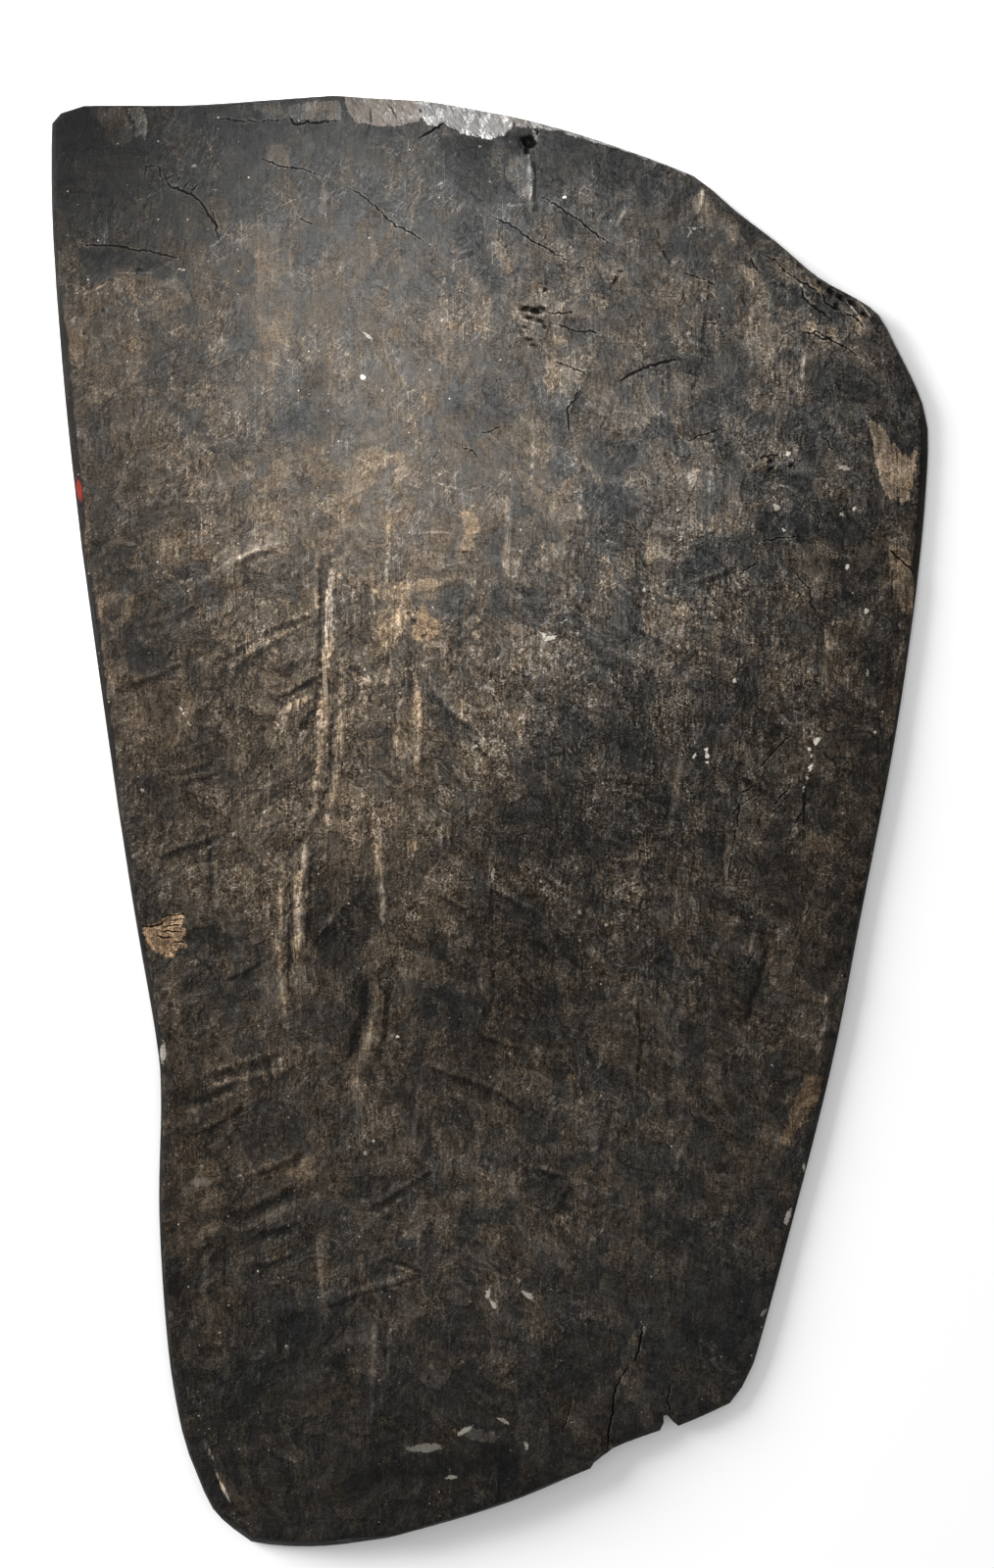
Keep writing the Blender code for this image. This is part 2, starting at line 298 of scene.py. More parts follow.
# %% Cracks
CRACKS = lines_of(
    (1.3, 1.6, 218, 126, 232, 124, 248, 126, 268, 127, 294, 125), (1.8, 2.4, 296, 120, 299, 130, 304, 131,
    315, 127, 320, 129, 330, 128, 350, 127), (1.1, 0.9, 262, 164, 277, 168, 290, 175, 301, 174, 315, 177,
    330, 183), (0.9, 0.6, 305, 226, 313, 230, 322, 233), (1.5, 1.4, 165, 173, 173, 191, 186, 197, 203, 204,
    214, 220, 221, 233, 228, 255), (0.9, 0.7, 215, 212, 219, 224, 225, 241), (1, 0.8, 148, 187, 150, 172,
    163, 171, 166, 187), (1.3, 1.2, 74, 250, 99, 252, 119, 253, 137, 256, 157, 259, 169, 262, 177, 265, 194,
    264), (1.2, 1.1, 351, 191, 359, 197, 372, 204, 385, 215, 403, 234, 415, 238, 429, 247, 440, 255), (1.4,
    1.5, 546, 200, 556, 206, 573, 217, 590, 228, 600, 238, 615, 248, 629, 255), (1.2, 1.2, 491, 220, 522,
    233, 540, 248, 549, 252, 560, 259, 573, 266, 588, 275), (1.1, 0.8, 588, 277, 597, 276), (2, 2.2, 428,
    145, 440, 138, 448, 132, 456, 127), (1.1, 1, 395, 106, 402, 116, 407, 127), (1.1, 1, 378, 112, 380, 122,
    378, 131), (1, 0.8, 549, 128, 548, 140, 543, 146), (1.3, 1.6, 776, 262, 790, 268, 802, 281, 818, 290,
    831, 297, 835, 304), (1.6, 1.6, 816, 294, 820, 308, 833, 318, 848, 328), (1.4, 1.2, 836, 300, 842, 312,
    856, 318), (1.3, 1.2, 812, 340, 828, 342, 838, 348, 852, 346), (1.2, 1, 858, 318, 872, 326, 884, 340),
    (1.2, 1, 817, 335, 832, 341, 848, 349, 866, 360, 882, 370), (2.2, 1.8, 630, 392, 643, 385, 652, 380,
    665, 375, 680, 371, 694, 369), (1.2, 0.9, 697, 454, 710, 447, 722, 443, 740, 440), (1.1, 0.9, 692, 281,
    704, 284, 716, 288, 733, 297), (1.6, 1.4, 763, 264, 769, 274, 776, 284), (1.4, 1.2, 903, 558, 916, 570,
    926, 578, 935, 587), (1.3, 1, 591, 392, 586, 410, 578, 420, 579, 437, 583, 447), (1.1, 0.8, 556, 330,
    572, 336, 587, 341, 601, 341, 618, 346), (1, 0.7, 558, 322, 574, 323, 588, 321), (1, 0.6, 562, 372, 575,
    375, 592, 381, 601, 389), (1, 0.6, 708, 330, 718, 332, 729, 333, 733, 325, 730, 316), (1, 0.7, 470, 457,
    480, 462, 489, 470), (1.1, 0.8, 489, 445, 500, 442, 512, 437), (1.1, 0.9, 749, 590, 760, 582, 774, 574),
    (1.2, 0.8, 771, 469, 783, 467, 797, 465), (1, 0.7, 770, 554, 785, 552, 800, 549, 825, 548), (1.1, 0.9,
    806, 580, 815, 592, 825, 602, 826, 617, 837, 631), (1, 0.8, 770, 970, 764, 977, 759, 987), (1, 0.8, 824,
    926, 821, 932, 818, 937), (1, 0.8, 771, 1078, 777, 1072, 783, 1068), (1, 0.8, 748, 803, 753, 824, 749,
    853, 742, 891, 739, 912), (1, 0.8, 783, 833, 792, 824, 803, 812), (1.6, 2.4, 655, 1350, 653, 1366, 650,
    1378, 645, 1388), (1.5, 3, 640, 1392, 627, 1415, 625, 1438, 620, 1462, 617, 1482), (1.4, 1.6, 683, 1440,
    680, 1424, 684, 1410), (1.4, 1.2, 144, 945, 153, 946, 164, 943, 172, 938), (0.9, 0.8, 166, 936, 178,
    933, 191, 932), (0.8, 0.6, 172, 940, 182, 938, 192, 938), (0.9, 0.7, 166, 946, 178, 943, 190, 943),
    (0.9, 0.7, 164, 950, 176, 949, 188, 951), (1, 0.8, 160, 954, 168, 957, 178, 956), (0.9, 0.7, 176, 962,
    184, 960, 192, 962), (1.3, 0.8, 786, 824, 796, 812, 806, 801), (1.2, 0.7, 752, 812, 760, 806, 772, 800),
    (1.2, 0.7, 836, 446, 842, 452, 850, 462), (1, 0.7, 832, 548, 834, 530, 826, 514), (1.1, 0.8, 583, 1424,
    579, 1442, 571, 1466), (1.2, 0.8, 768, 788, 788, 768, 808, 746), (1.1, 0.8, 742, 836, 752, 822, 768,
    812), (1.1, 0.8, 806, 846, 816, 828, 826, 812), (1, 0.6, 172, 186, 178, 178), (1, 0.6, 180, 190, 186,
    182), (1, 0.6, 189, 194, 195, 186), (1, 0.6, 197, 198, 202, 191), (1.1, 0.9, 703, 1129, 705, 1137, 709,
    1140),
)
print("cracks:", len(CRACKS))

# %% Strokes
STROKES = lines_of(
    (9, 0.9, 226, 692, 262, 668, 300, 648, 327, 630), (6, 0.8, 280, 712, 300, 704, 323, 692), (6, 0.6, 182,
    802, 204, 793, 226, 787), (5, 0.5, 198, 738, 212, 743, 228, 741), (7, 0.5, 176, 790, 196, 784, 232,
    776), (5, 0.5, 258, 849, 275, 842, 290, 836), (7, 0.5, 236, 577, 262, 566, 291, 557), (8, 0.6, 320, 964,
    345, 932, 378, 902), (6, 0.6, 196, 1060, 210, 1051, 229, 1046), (9, 0.9, 203, 1098, 230, 1090, 258,
    1082, 292, 1073), (8, 0.9, 192, 1124, 214, 1116, 244, 1101), (7, 0.6, 195, 1158, 220, 1145, 250, 1127),
    (8, 0.7, 258, 1199, 287, 1186, 316, 1172), (10, 1, 232, 1240, 258, 1230, 279, 1220, 304, 1208), (7, 0.7,
    260, 1258, 285, 1252, 304, 1245), (6, 0.6, 258, 1290, 285, 1284, 306, 1276), (7, 0.7, 372, 1234, 392,
    1224, 416, 1208, 446, 1190), (8, 0.8, 330, 1332, 367, 1318, 403, 1306, 434, 1296), (5, 0.5, 434, 1297,
    412, 1290, 390, 1281), (7, 0.6, 436, 700, 450, 716, 468, 734, 492, 752), (4, 0.4, 444, 911, 462, 920,
    480, 928), (6, 0.6, 432, 1084, 470, 1098, 509, 1112, 541, 1138), (5, 0.5, 486, 1052, 512, 1063, 534,
    1070), (6, 0.5, 498, 905, 530, 922, 556, 938), (5, 0.4, 520, 1180, 548, 1192, 584, 1199), (6, 0.5, 150,
    640, 175, 632, 206, 618), (6, 0.4, 130, 700, 160, 690, 190, 676), (6, 0.5, 160, 875, 195, 862, 232,
    850), (5, 0.4, 228, 1000, 250, 990, 276, 976), (5, 0.4, 640, 640, 668, 652, 700, 668), (6, 0.5, 700,
    596, 730, 590, 752, 577), (5, 0.5, 752, 790, 770, 800, 786, 812), (7, 0.5, 560, 1240, 572, 1222, 584,
    1200),
)
print("strokes:", len(STROKES))

# %% [markdown]
# A streak has no depth, because it stands a little proud. Its second number says how pale it is.

# %% Streaks
STREAKS = lines_of(
    (1.3, 0.4, 842, 281, 862, 292, 882, 308), (1.2, 0.45, 856, 299, 868, 315, 880, 332), (1.2, 0.35, 872,
    306, 888, 326), (1.4, 0.3, 812, 290, 826, 303), (1.4, 0.3, 822, 318, 836, 333), (1.1, 0.4, 800, 270,
    818, 282), (8.5, 0.2, 340, 556, 339, 588, 337, 640, 332, 700, 329, 756, 324, 809, 317, 850), (2.2, 0.4,
    335, 580, 335, 620, 334, 676), (2, 0.36, 342, 584, 342, 620, 341, 676), (1.4, 0.3, 326, 660, 325, 700,
    322, 790), (1.4, 0.3, 331, 650, 330, 720, 326, 790, 323, 830), (1.8, 0.45, 311, 850, 309, 880, 306,
    920), (4.6, 0.27, 349, 660, 350, 713, 347, 766, 341, 806, 334, 850), (5.6, 0.3, 309, 846, 313, 867, 308,
    890, 305, 923, 306, 951, 303, 970, 302, 992), (3.6, 0.22, 293, 850, 290, 894, 287, 932, 285, 970, 288,
    995, 293, 1035, 299, 1072), (4.6, 0.3, 387, 842, 388, 894, 391, 923, 391, 952), (6.5, 0.18, 388, 996,
    382, 1030, 372, 1070, 364, 1100, 368, 1150, 372, 1184), (2.6, 0.2, 398, 470, 397, 520, 395, 580, 394,
    650), (3, 0.2, 404, 596, 407, 626, 408, 650), (2.6, 0.2, 380, 570, 382, 610, 384, 650), (3.4, 0.2, 426,
    690, 427, 740, 426, 800), (3.4, 0.2, 412, 690, 410, 730, 403, 760, 402, 800), (2.4, 0.2, 382, 700, 380,
    750), (3, 0.2, 401, 668, 397, 690, 396, 706), (2.4, 0.2, 441, 682, 443, 706), (3, 0.2, 492, 742, 493,
    770, 495, 800), (4, 0.2, 516, 500, 518, 545, 516, 570, 514, 596), (2, 0.2, 298, 548, 299, 580, 299,
    606), (2.8, 0.2, 324, 562, 323, 596, 322, 624), (2, 0.2, 345, 560, 350, 600, 352, 640), (2.5, 0.2, 331,
    820, 333, 850, 330, 898), (1.4, 0.2, 408, 960, 408, 1020, 407, 1054), (5, 0.2, 329, 1246, 327, 1280,
    329, 1318), (4, 0.18, 385, 1320, 382, 1370, 379, 1425, 374, 1482), (3.5, 0.13, 398, 1330, 397, 1370,
    398, 1415), (4, 0.2, 212, 1264, 211, 1290, 206, 1340), (2.6, 0.2, 428, 1246, 427, 1270, 429, 1297),
    (4.4, 0.2, 698, 766, 692, 786, 688, 807, 684, 834, 682, 862), (2.6, 0.2, 836, 880, 828, 908, 818, 937,
    811, 962), (2.2, 0.2, 860, 948, 857, 965, 855, 982), (3, 0.3, 845, 1000, 840, 1045, 829, 1088), (1.6,
    0.2, 890, 612, 886, 640, 884, 655), (1.6, 0.2, 884, 672, 882, 690), (4, 0.2, 428, 1118, 424, 1140, 420,
    1178), (3.2, 0.2, 556, 760, 557, 790, 556, 806), (2.6, 0.2, 604, 712, 603, 730, 602, 748), (2.6, 0.2,
    592, 490, 591, 520, 593, 548), (2.6, 0.2, 545, 432, 544, 470, 540, 500), (3.4, 0.2, 540, 166, 541, 188,
    538, 212), (3, 0.2, 640, 205, 634, 222, 626, 240), (3, 0.2, 716, 190, 714, 210, 708, 226), (2.4, 0.2,
    468, 256, 464, 272, 461, 285), (2, 0.2, 790, 434, 789, 452, 788, 470), (2, 0.2, 808, 434, 807, 460),
    (3.2, 0.2, 822, 352, 819, 376, 814, 398), (2.6, 0.2, 766, 312, 762, 335, 757, 352), (3.6, 0.2, 726, 478,
    724, 492, 722, 510), (1.8, 0.2, 756, 640, 752, 660, 748, 690), (1.8, 0.2, 770, 636, 766, 660, 760, 682),
    (3.4, 0.2, 842, 642, 842, 670, 840, 700), (1.6, 0.2, 923, 640, 916, 672, 905, 724), (2, 0.2, 900, 708,
    896, 740), (3.6, 0.2, 744, 838, 742, 862, 740, 905), (2, 0.2, 702, 843, 718, 846, 734, 848), (2.4, 0.2,
    764, 859, 780, 861, 792, 864), (3, 0.2, 774, 924, 768, 950, 762, 976), (3, 0.2, 694, 1160, 692, 1180,
    688, 1200), (2.4, 0.2, 814, 1128, 808, 1144, 800, 1162), (2.4, 0.2, 606, 950, 604, 965, 606, 980), (2.8,
    0.2, 648, 1010, 646, 1030, 648, 1050), (2.6, 0.24, 292, 636, 312, 628, 336, 616), (3.4, 0.2, 266, 670,
    296, 654, 324, 638), (4.6, 0.3, 284, 729, 304, 719, 322, 708), (2.4, 0.2, 232, 700, 262, 684, 300, 664),
    (2.4, 0.2, 176, 770, 200, 760, 226, 751), (2.2, 0.2, 200, 802, 216, 796, 230, 790), (2.2, 0.2, 248, 806,
    270, 796, 288, 778, 296, 766), (1.8, 0.2, 234, 576, 250, 566, 270, 562, 290, 558), (2.4, 0.2, 300, 1032,
    316, 1016, 330, 1000), (2.4, 0.2, 322, 956, 340, 936, 352, 922), (3.2, 0.2, 202, 1112, 230, 1102, 262,
    1095, 300, 1086), (3.4, 0.2, 178, 1138, 214, 1126, 240, 1113, 252, 1106), (2.2, 0.2, 204, 1152, 226,
    1142, 246, 1130), (2.2, 0.2, 200, 1062, 216, 1052, 236, 1047), (4.2, 0.2, 236, 1256, 262, 1248, 280,
    1237, 300, 1227, 316, 1218), (3, 0.2, 266, 1269, 286, 1263, 304, 1256), (2.6, 0.2, 268, 1309, 286, 1304,
    304, 1294), (2.4, 0.2, 376, 1246, 400, 1227, 420, 1213), (2, 0.2, 340, 1334, 366, 1322, 398, 1313, 432,
    1301), (1.8, 0.2, 404, 1287, 416, 1293, 430, 1297), (1.8, 0.2, 446, 1074, 470, 1086, 500, 1100), (1.8,
    0.2, 452, 1108, 476, 1118, 500, 1126), (1.6, 0.2, 450, 902, 480, 916, 505, 928), (1.6, 0.2, 304, 210,
    310, 205, 322, 203, 334, 206), (1.6, 0.2, 340, 350, 350, 346, 356, 343), (1.6, 0.2, 505, 210, 516, 214,
    530, 215, 542, 209, 556, 210), (1.4, 0.2, 530, 329, 542, 332, 550, 336, 558, 337), (1.2, 0.2, 530, 322,
    543, 322, 556, 325), (1.2, 0.2, 528, 344, 542, 342, 560, 344), (1.4, 0.2, 100, 289, 106, 284, 130, 280,
    157, 281, 167, 276, 174, 269, 188, 267), (1.4, 0.24, 196, 262, 220, 254, 230, 244, 242, 227, 248, 222),
    (1.2, 0.3, 250, 230, 266, 232, 287, 229, 290, 224), (2.2, 0.8, 204, 1440, 212, 1475, 226, 1512, 242,
    1548), (1.6, 0.2, 505, 1250, 504, 1300, 508, 1350, 506, 1380), (1.4, 0.2, 866, 380, 874, 392, 884, 382,
    892, 372), (1.2, 0.2, 424, 547, 440, 545, 466, 546), (1.2, 0.2, 440, 586, 460, 576, 500, 570),
)
print("streaks:", len(STREAKS))

# %% Grooves
GROOVES = lines_of(
    (4, 0.6, 327, 560, 328, 620, 326, 690, 321, 750), (3, 0.6, 335, 660, 338, 700, 339, 756, 334, 800, 326,
    850), (5, 0.7, 298, 707, 312, 700, 324, 690), (6, 0.5, 304, 748, 316, 732, 323, 716), (5, 0.5, 262, 652,
    284, 641, 304, 636, 322, 628), (5, 0.4, 226, 676, 244, 664, 262, 656), (4, 0.5, 320, 858, 318, 900, 316,
    930, 314, 975), (3.5, 0.4, 298, 880, 297, 940, 295, 1000, 303, 1040), (6, 0.5, 376, 985, 370, 1030, 360,
    1065, 352, 1090), (4.5, 0.4, 398, 984, 395, 1040, 388, 1075, 380, 1100), (3.5, 0.4, 418, 650, 420, 680,
    418, 720), (3, 0.4, 543, 150, 546, 190, 544, 230), (3, 0.4, 722, 283, 720, 320, 714, 360, 706, 400, 702,
    445), (3, 0.4, 737, 560, 741, 600, 752, 650, 749, 700), (3, 0.4, 470, 600, 468, 650, 472, 700), (4, 0.4,
    212, 840, 216, 880, 214, 930), (4, 0.4, 648, 1010, 652, 1060, 648, 1120), (2.6, 0.4, 229, 1250, 230,
    1290, 228, 1330), (4.5, 0.5, 784, 950, 776, 990, 764, 1024, 755, 1056), (4, 0.4, 500, 888, 503, 930,
    502, 990, 500, 1040), (3, 0.4, 594, 396, 586, 412, 582, 430), (2.4, 0.4, 668, 226, 672, 260, 690, 280),
    (2.6, 0.4, 820, 800, 818, 850, 812, 880), (2.2, 0.3, 912, 430, 916, 500, 914, 560, 905, 640), (2.2, 0.3,
    930, 470, 932, 520, 926, 590),
)
print("grooves:", len(GROOVES))

# %% [markdown]
# Lines in old wood are ragged, so each is broken into short steps that jump a little to either side.

# %% Lines on the board
CRACK_STEP, CRACK_JUMP = 3.2 * MM, 1.0 * MM
STROKE_STEP, STROKE_JUMP = 9 * MM, 0.9 * MM
STREAK_STEP, STREAK_JUMP = 14 * MM, 0.8 * MM
LINE_SEED = 21


def placed(points):
    """A line of pixels as metres on the board."""
    return np.array([at(u, v) for u, v in points])


def stepped(line, step):
    """The line with a point at every step along it."""
    lengths = np.hypot(*np.diff(line, axis=0).T)
    travelled = np.concatenate([[0], np.cumsum(lengths)])
    count = max(2, round(travelled[-1] / step) + 1)
    stops = np.linspace(0, travelled[-1], count)
    return np.column_stack([np.interp(stops, travelled, line[:, i]) for i in (0, 1)])


def ragged(line, step, jump, luck):
    """The line broken into short steps that jump to either side, as torn wood does."""
    walked = stepped(line, step)
    for i in range(1, len(walked) - 1):
        walked[i] += luck.uniform(-jump, jump), luck.uniform(-jump, jump)
    return walked


luck = random.Random(LINE_SEED)
crack_lines = [ragged(placed(mark.points), CRACK_STEP, CRACK_JUMP, luck) for mark in CRACKS]
stroke_lines = [ragged(placed(mark.points), STROKE_STEP, STROKE_JUMP, luck) for mark in STROKES]
streak_lines = [ragged(placed(mark.points), STREAK_STEP, STREAK_JUMP, luck) for mark in STREAKS]
groove_lines = [ragged(placed(mark.points), STREAK_STEP, STREAK_JUMP, luck) for mark in GROOVES]
print("cracks:", sum(len(line) for line in crack_lines), "points on the board")

# %% [markdown]
# ## Bare wood, smooth black and pale specks as islands
#
# Some marks are areas: a flake that has bared orange wood, a patch where the black stayed smooth and
# cool, a drop of pale dirt. An area with a shape of its own is a closed loop, and its row holds a tint,
# a strength, and then u and v of each point of the loop. A spot is an ellipse, and its row holds its
# middle, its two radii, its lean in degrees, its tint and its strength.

# %% Records for areas
Island = namedtuple("Island", "tint strength points")
Spot = namedtuple("Spot", "u v long short lean tint strength")


def islands_of(*rows):
    """Island records from rows of numbers."""
    return [Island(row[0], row[1], list(zip(row[2::2], row[3::2]))) for row in rows]


def spots_of(*rows):
    """Spot records from rows of numbers."""
    return [Spot(*row) for row in rows]


# %% Bare wood
BARE_ISLANDS = islands_of(
    (0.9, 0.58, 427, 622, 433, 616, 439, 628, 447, 636, 448, 648, 438, 656, 422, 653, 418, 645, 424, 636),
    (0.45, 0.5, 404, 598, 414, 602, 420, 612, 424, 628, 416, 640, 406, 634, 402, 616), (0.3, 1.15, 884, 428,
    897, 434, 910, 452, 922, 466, 934, 458, 932, 486, 926, 512, 917, 514, 905, 508, 896, 490, 890, 462),
    (0.5, 0.7, 905, 554, 922, 560, 934, 572, 934, 600, 930, 628, 918, 622, 908, 590), (0.3, 1.2, 129, 108,
    145, 109, 150, 128, 150, 146, 143, 138, 134, 120), (0.95, 1.4, 147, 946, 162, 942, 168, 937, 182, 931,
    190, 934, 186, 944, 192, 950, 187, 957, 192, 966, 182, 966, 178, 976, 167, 974, 155, 969, 148, 958),
    (0.1, 0.55, 518, 166, 540, 162, 543, 178, 542, 206, 534, 210, 524, 196, 515, 184), (0.45, 0.4, 562, 346,
    592, 350, 594, 384, 590, 400, 582, 420, 574, 424, 560, 412, 556, 380), (0.6, 0.45, 500, 240, 508, 244,
    517, 262, 524, 284, 516, 284, 506, 264), (0.4, 0.55, 292, 112, 346, 106, 350, 124, 336, 126, 318, 126,
    300, 124, 280, 122), (0.6, 0.45, 264, 1200, 290, 1188, 318, 1173, 326, 1180, 322, 1196, 312, 1208, 300,
    1198), (0.7, 0.35, 180, 1182, 200, 1176, 224, 1190, 226, 1212, 206, 1206, 186, 1200), (0.25, 0.6, 666,
    906, 688, 905, 690, 912, 668, 914), (0.35, 0.45, 668, 928, 682, 926, 680, 946, 672, 958), (0.85, 0.65,
    820, 1096, 840, 1098, 834, 1120, 818, 1146, 800, 1170, 796, 1164, 808, 1130), (0.7, 0.4, 606, 1192, 622,
    1188, 634, 1198, 628, 1214, 612, 1216), (0.45, 0.6, 650, 1352, 652, 1372, 646, 1392, 636, 1410, 630,
    1406, 634, 1380, 642, 1360), (0.7, 0.45, 220, 1502, 228, 1500, 242, 1516, 256, 1534, 246, 1538, 230,
    1522), (0.2, 0.46, 700, 480, 724, 478, 750, 494, 766, 506, 772, 524, 768, 545, 740, 548, 704, 540),
    (0.6, 0.3, 816, 568, 838, 562, 850, 580, 842, 594, 822, 590), (0.65, 0.35, 842, 652, 852, 650, 850, 700,
    840, 704, 836, 680), (0.45, 0.4, 658, 556, 676, 552, 682, 580, 676, 608, 662, 604), (0.4, 0.35, 716,
    637, 733, 639, 732, 655, 718, 653), (0.35, 0.35, 684, 618, 700, 617, 698, 650, 686, 648), (0.55, 0.35,
    820, 848, 860, 852, 858, 872, 824, 870), (0.5, 0.35, 724, 930, 752, 934, 748, 954, 728, 952), (0.55,
    0.35, 916, 638, 927, 640, 924, 668, 915, 662), (0.5, 0.35, 895, 704, 920, 706, 916, 746, 900, 744),
    (0.45, 0.3, 66, 300, 104, 296, 146, 306, 140, 350, 118, 384, 84, 380, 66, 350), (0.4, 0.35, 262, 262,
    296, 250, 304, 300, 296, 360, 282, 384, 264, 350),
)
BARE_SPOTS = spots_of(
    (482, 634, 9, 6, 60, 0.1, 0.8), (487, 648, 6, 4, 80, 0.05, 0.8), (424, 863, 5, 4, 0, 0.6, 0.75), (280,
    248, 8, 5, 70, 0.3, 0.5), (654, 1355, 6, 3, 80, 0.15, 0.95), (631, 1396, 6, 3, 60, 0.1, 0.8), (487,
    1460, 21, 6, -14, 0.1, 1.1), (399, 640, 22, 14, 75, 0.35, 0.45), (394, 604, 12, 9, 20, 0.3, 0.5), (402,
    700, 10, 18, 0, 0.25, 0.35), (186, 1260, 26, 20, 60, 0.75, 0.3), (476, 560, 10, 5, 40, 0.35, 0.45),
    (640, 250, 16, 8, 100, 0.45, 0.4), (716, 215, 20, 8, 100, 0.3, 0.45), (450, 330, 22, 12, 40, 0.45, 0.4),
    (594, 315, 24, 12, 10, 0.5, 0.35), (500, 1258, 18, 6, 20, 0.5, 0.3), (700, 1020, 10, 24, 0, 0.45, 0.3),
    (580, 1010, 10, 26, 0, 0.5, 0.3), (240, 980, 20, 9, 20, 0.45, 0.3), (150, 760, 16, 30, 0, 0.6, 0.3),
    (190, 560, 30, 18, 10, 0.55, 0.3), (520, 1031, 4, 6, 10, 1, 0.5), (582, 1097, 5, 3, 0, 1, 0.4), (485,
    1166, 6, 4, 0, 1, 0.4),
)
print("bare:", len(BARE_ISLANDS) + len(BARE_SPOTS))

# %% [markdown]
# The rest of the face has patches that are a shade darker or paler. A darker patch is drawn as weak
# smooth black and a paler one as weak bare wood, both with soft borders.

# %% Smooth black and darker patches
SMOOTH_ISLANDS = islands_of(
    (0.75, 0.51, 76, 252, 110, 254, 150, 259, 176, 266, 160, 276, 146, 280, 120, 278, 100, 284, 84, 276),
    (0.8, 0.48, 466, 222, 484, 216, 494, 232, 498, 262, 512, 292, 506, 300, 488, 286, 470, 262, 462, 240),
    (0.7, 0.42, 543, 266, 568, 272, 594, 276, 598, 284, 570, 288, 546, 280), (0.6, 0.51, 762, 484, 790, 482,
    822, 486, 824, 506, 800, 514, 776, 512, 766, 500), (0.55, 0.42, 771, 516, 800, 512, 824, 516, 826, 546,
    818, 562, 790, 564, 770, 552), (0.6, 0.36, 760, 272, 800, 286, 830, 304, 860, 320, 850, 336, 820, 322,
    784, 306), (0.5, 0.33, 476, 176, 494, 172, 498, 196, 494, 212, 480, 208), (0.65, 0.36, 820, 390, 870,
    380, 930, 400, 940, 450, 925, 470, 905, 440, 870, 420, 826, 424), (0.45, 0.36, 226, 1180, 243, 1178,
    246, 1204, 236, 1210, 226, 1206), (0.35, 0.36, 188, 1112, 220, 1104, 250, 1102, 246, 1112, 214, 1122,
    190, 1130), (0.35, 0.36, 232, 1210, 270, 1204, 300, 1204, 300, 1222, 270, 1236, 236, 1250), (0.35, 0.33,
    262, 1244, 300, 1236, 330, 1226, 330, 1246, 300, 1262, 264, 1262), (0.6, 0.27, 700, 1270, 760, 1262,
    790, 1300, 780, 1380, 740, 1420, 704, 1400, 694, 1330), (0.55, 0.27, 566, 600, 600, 590, 640, 612, 650,
    660, 620, 700, 580, 690, 560, 650),
)
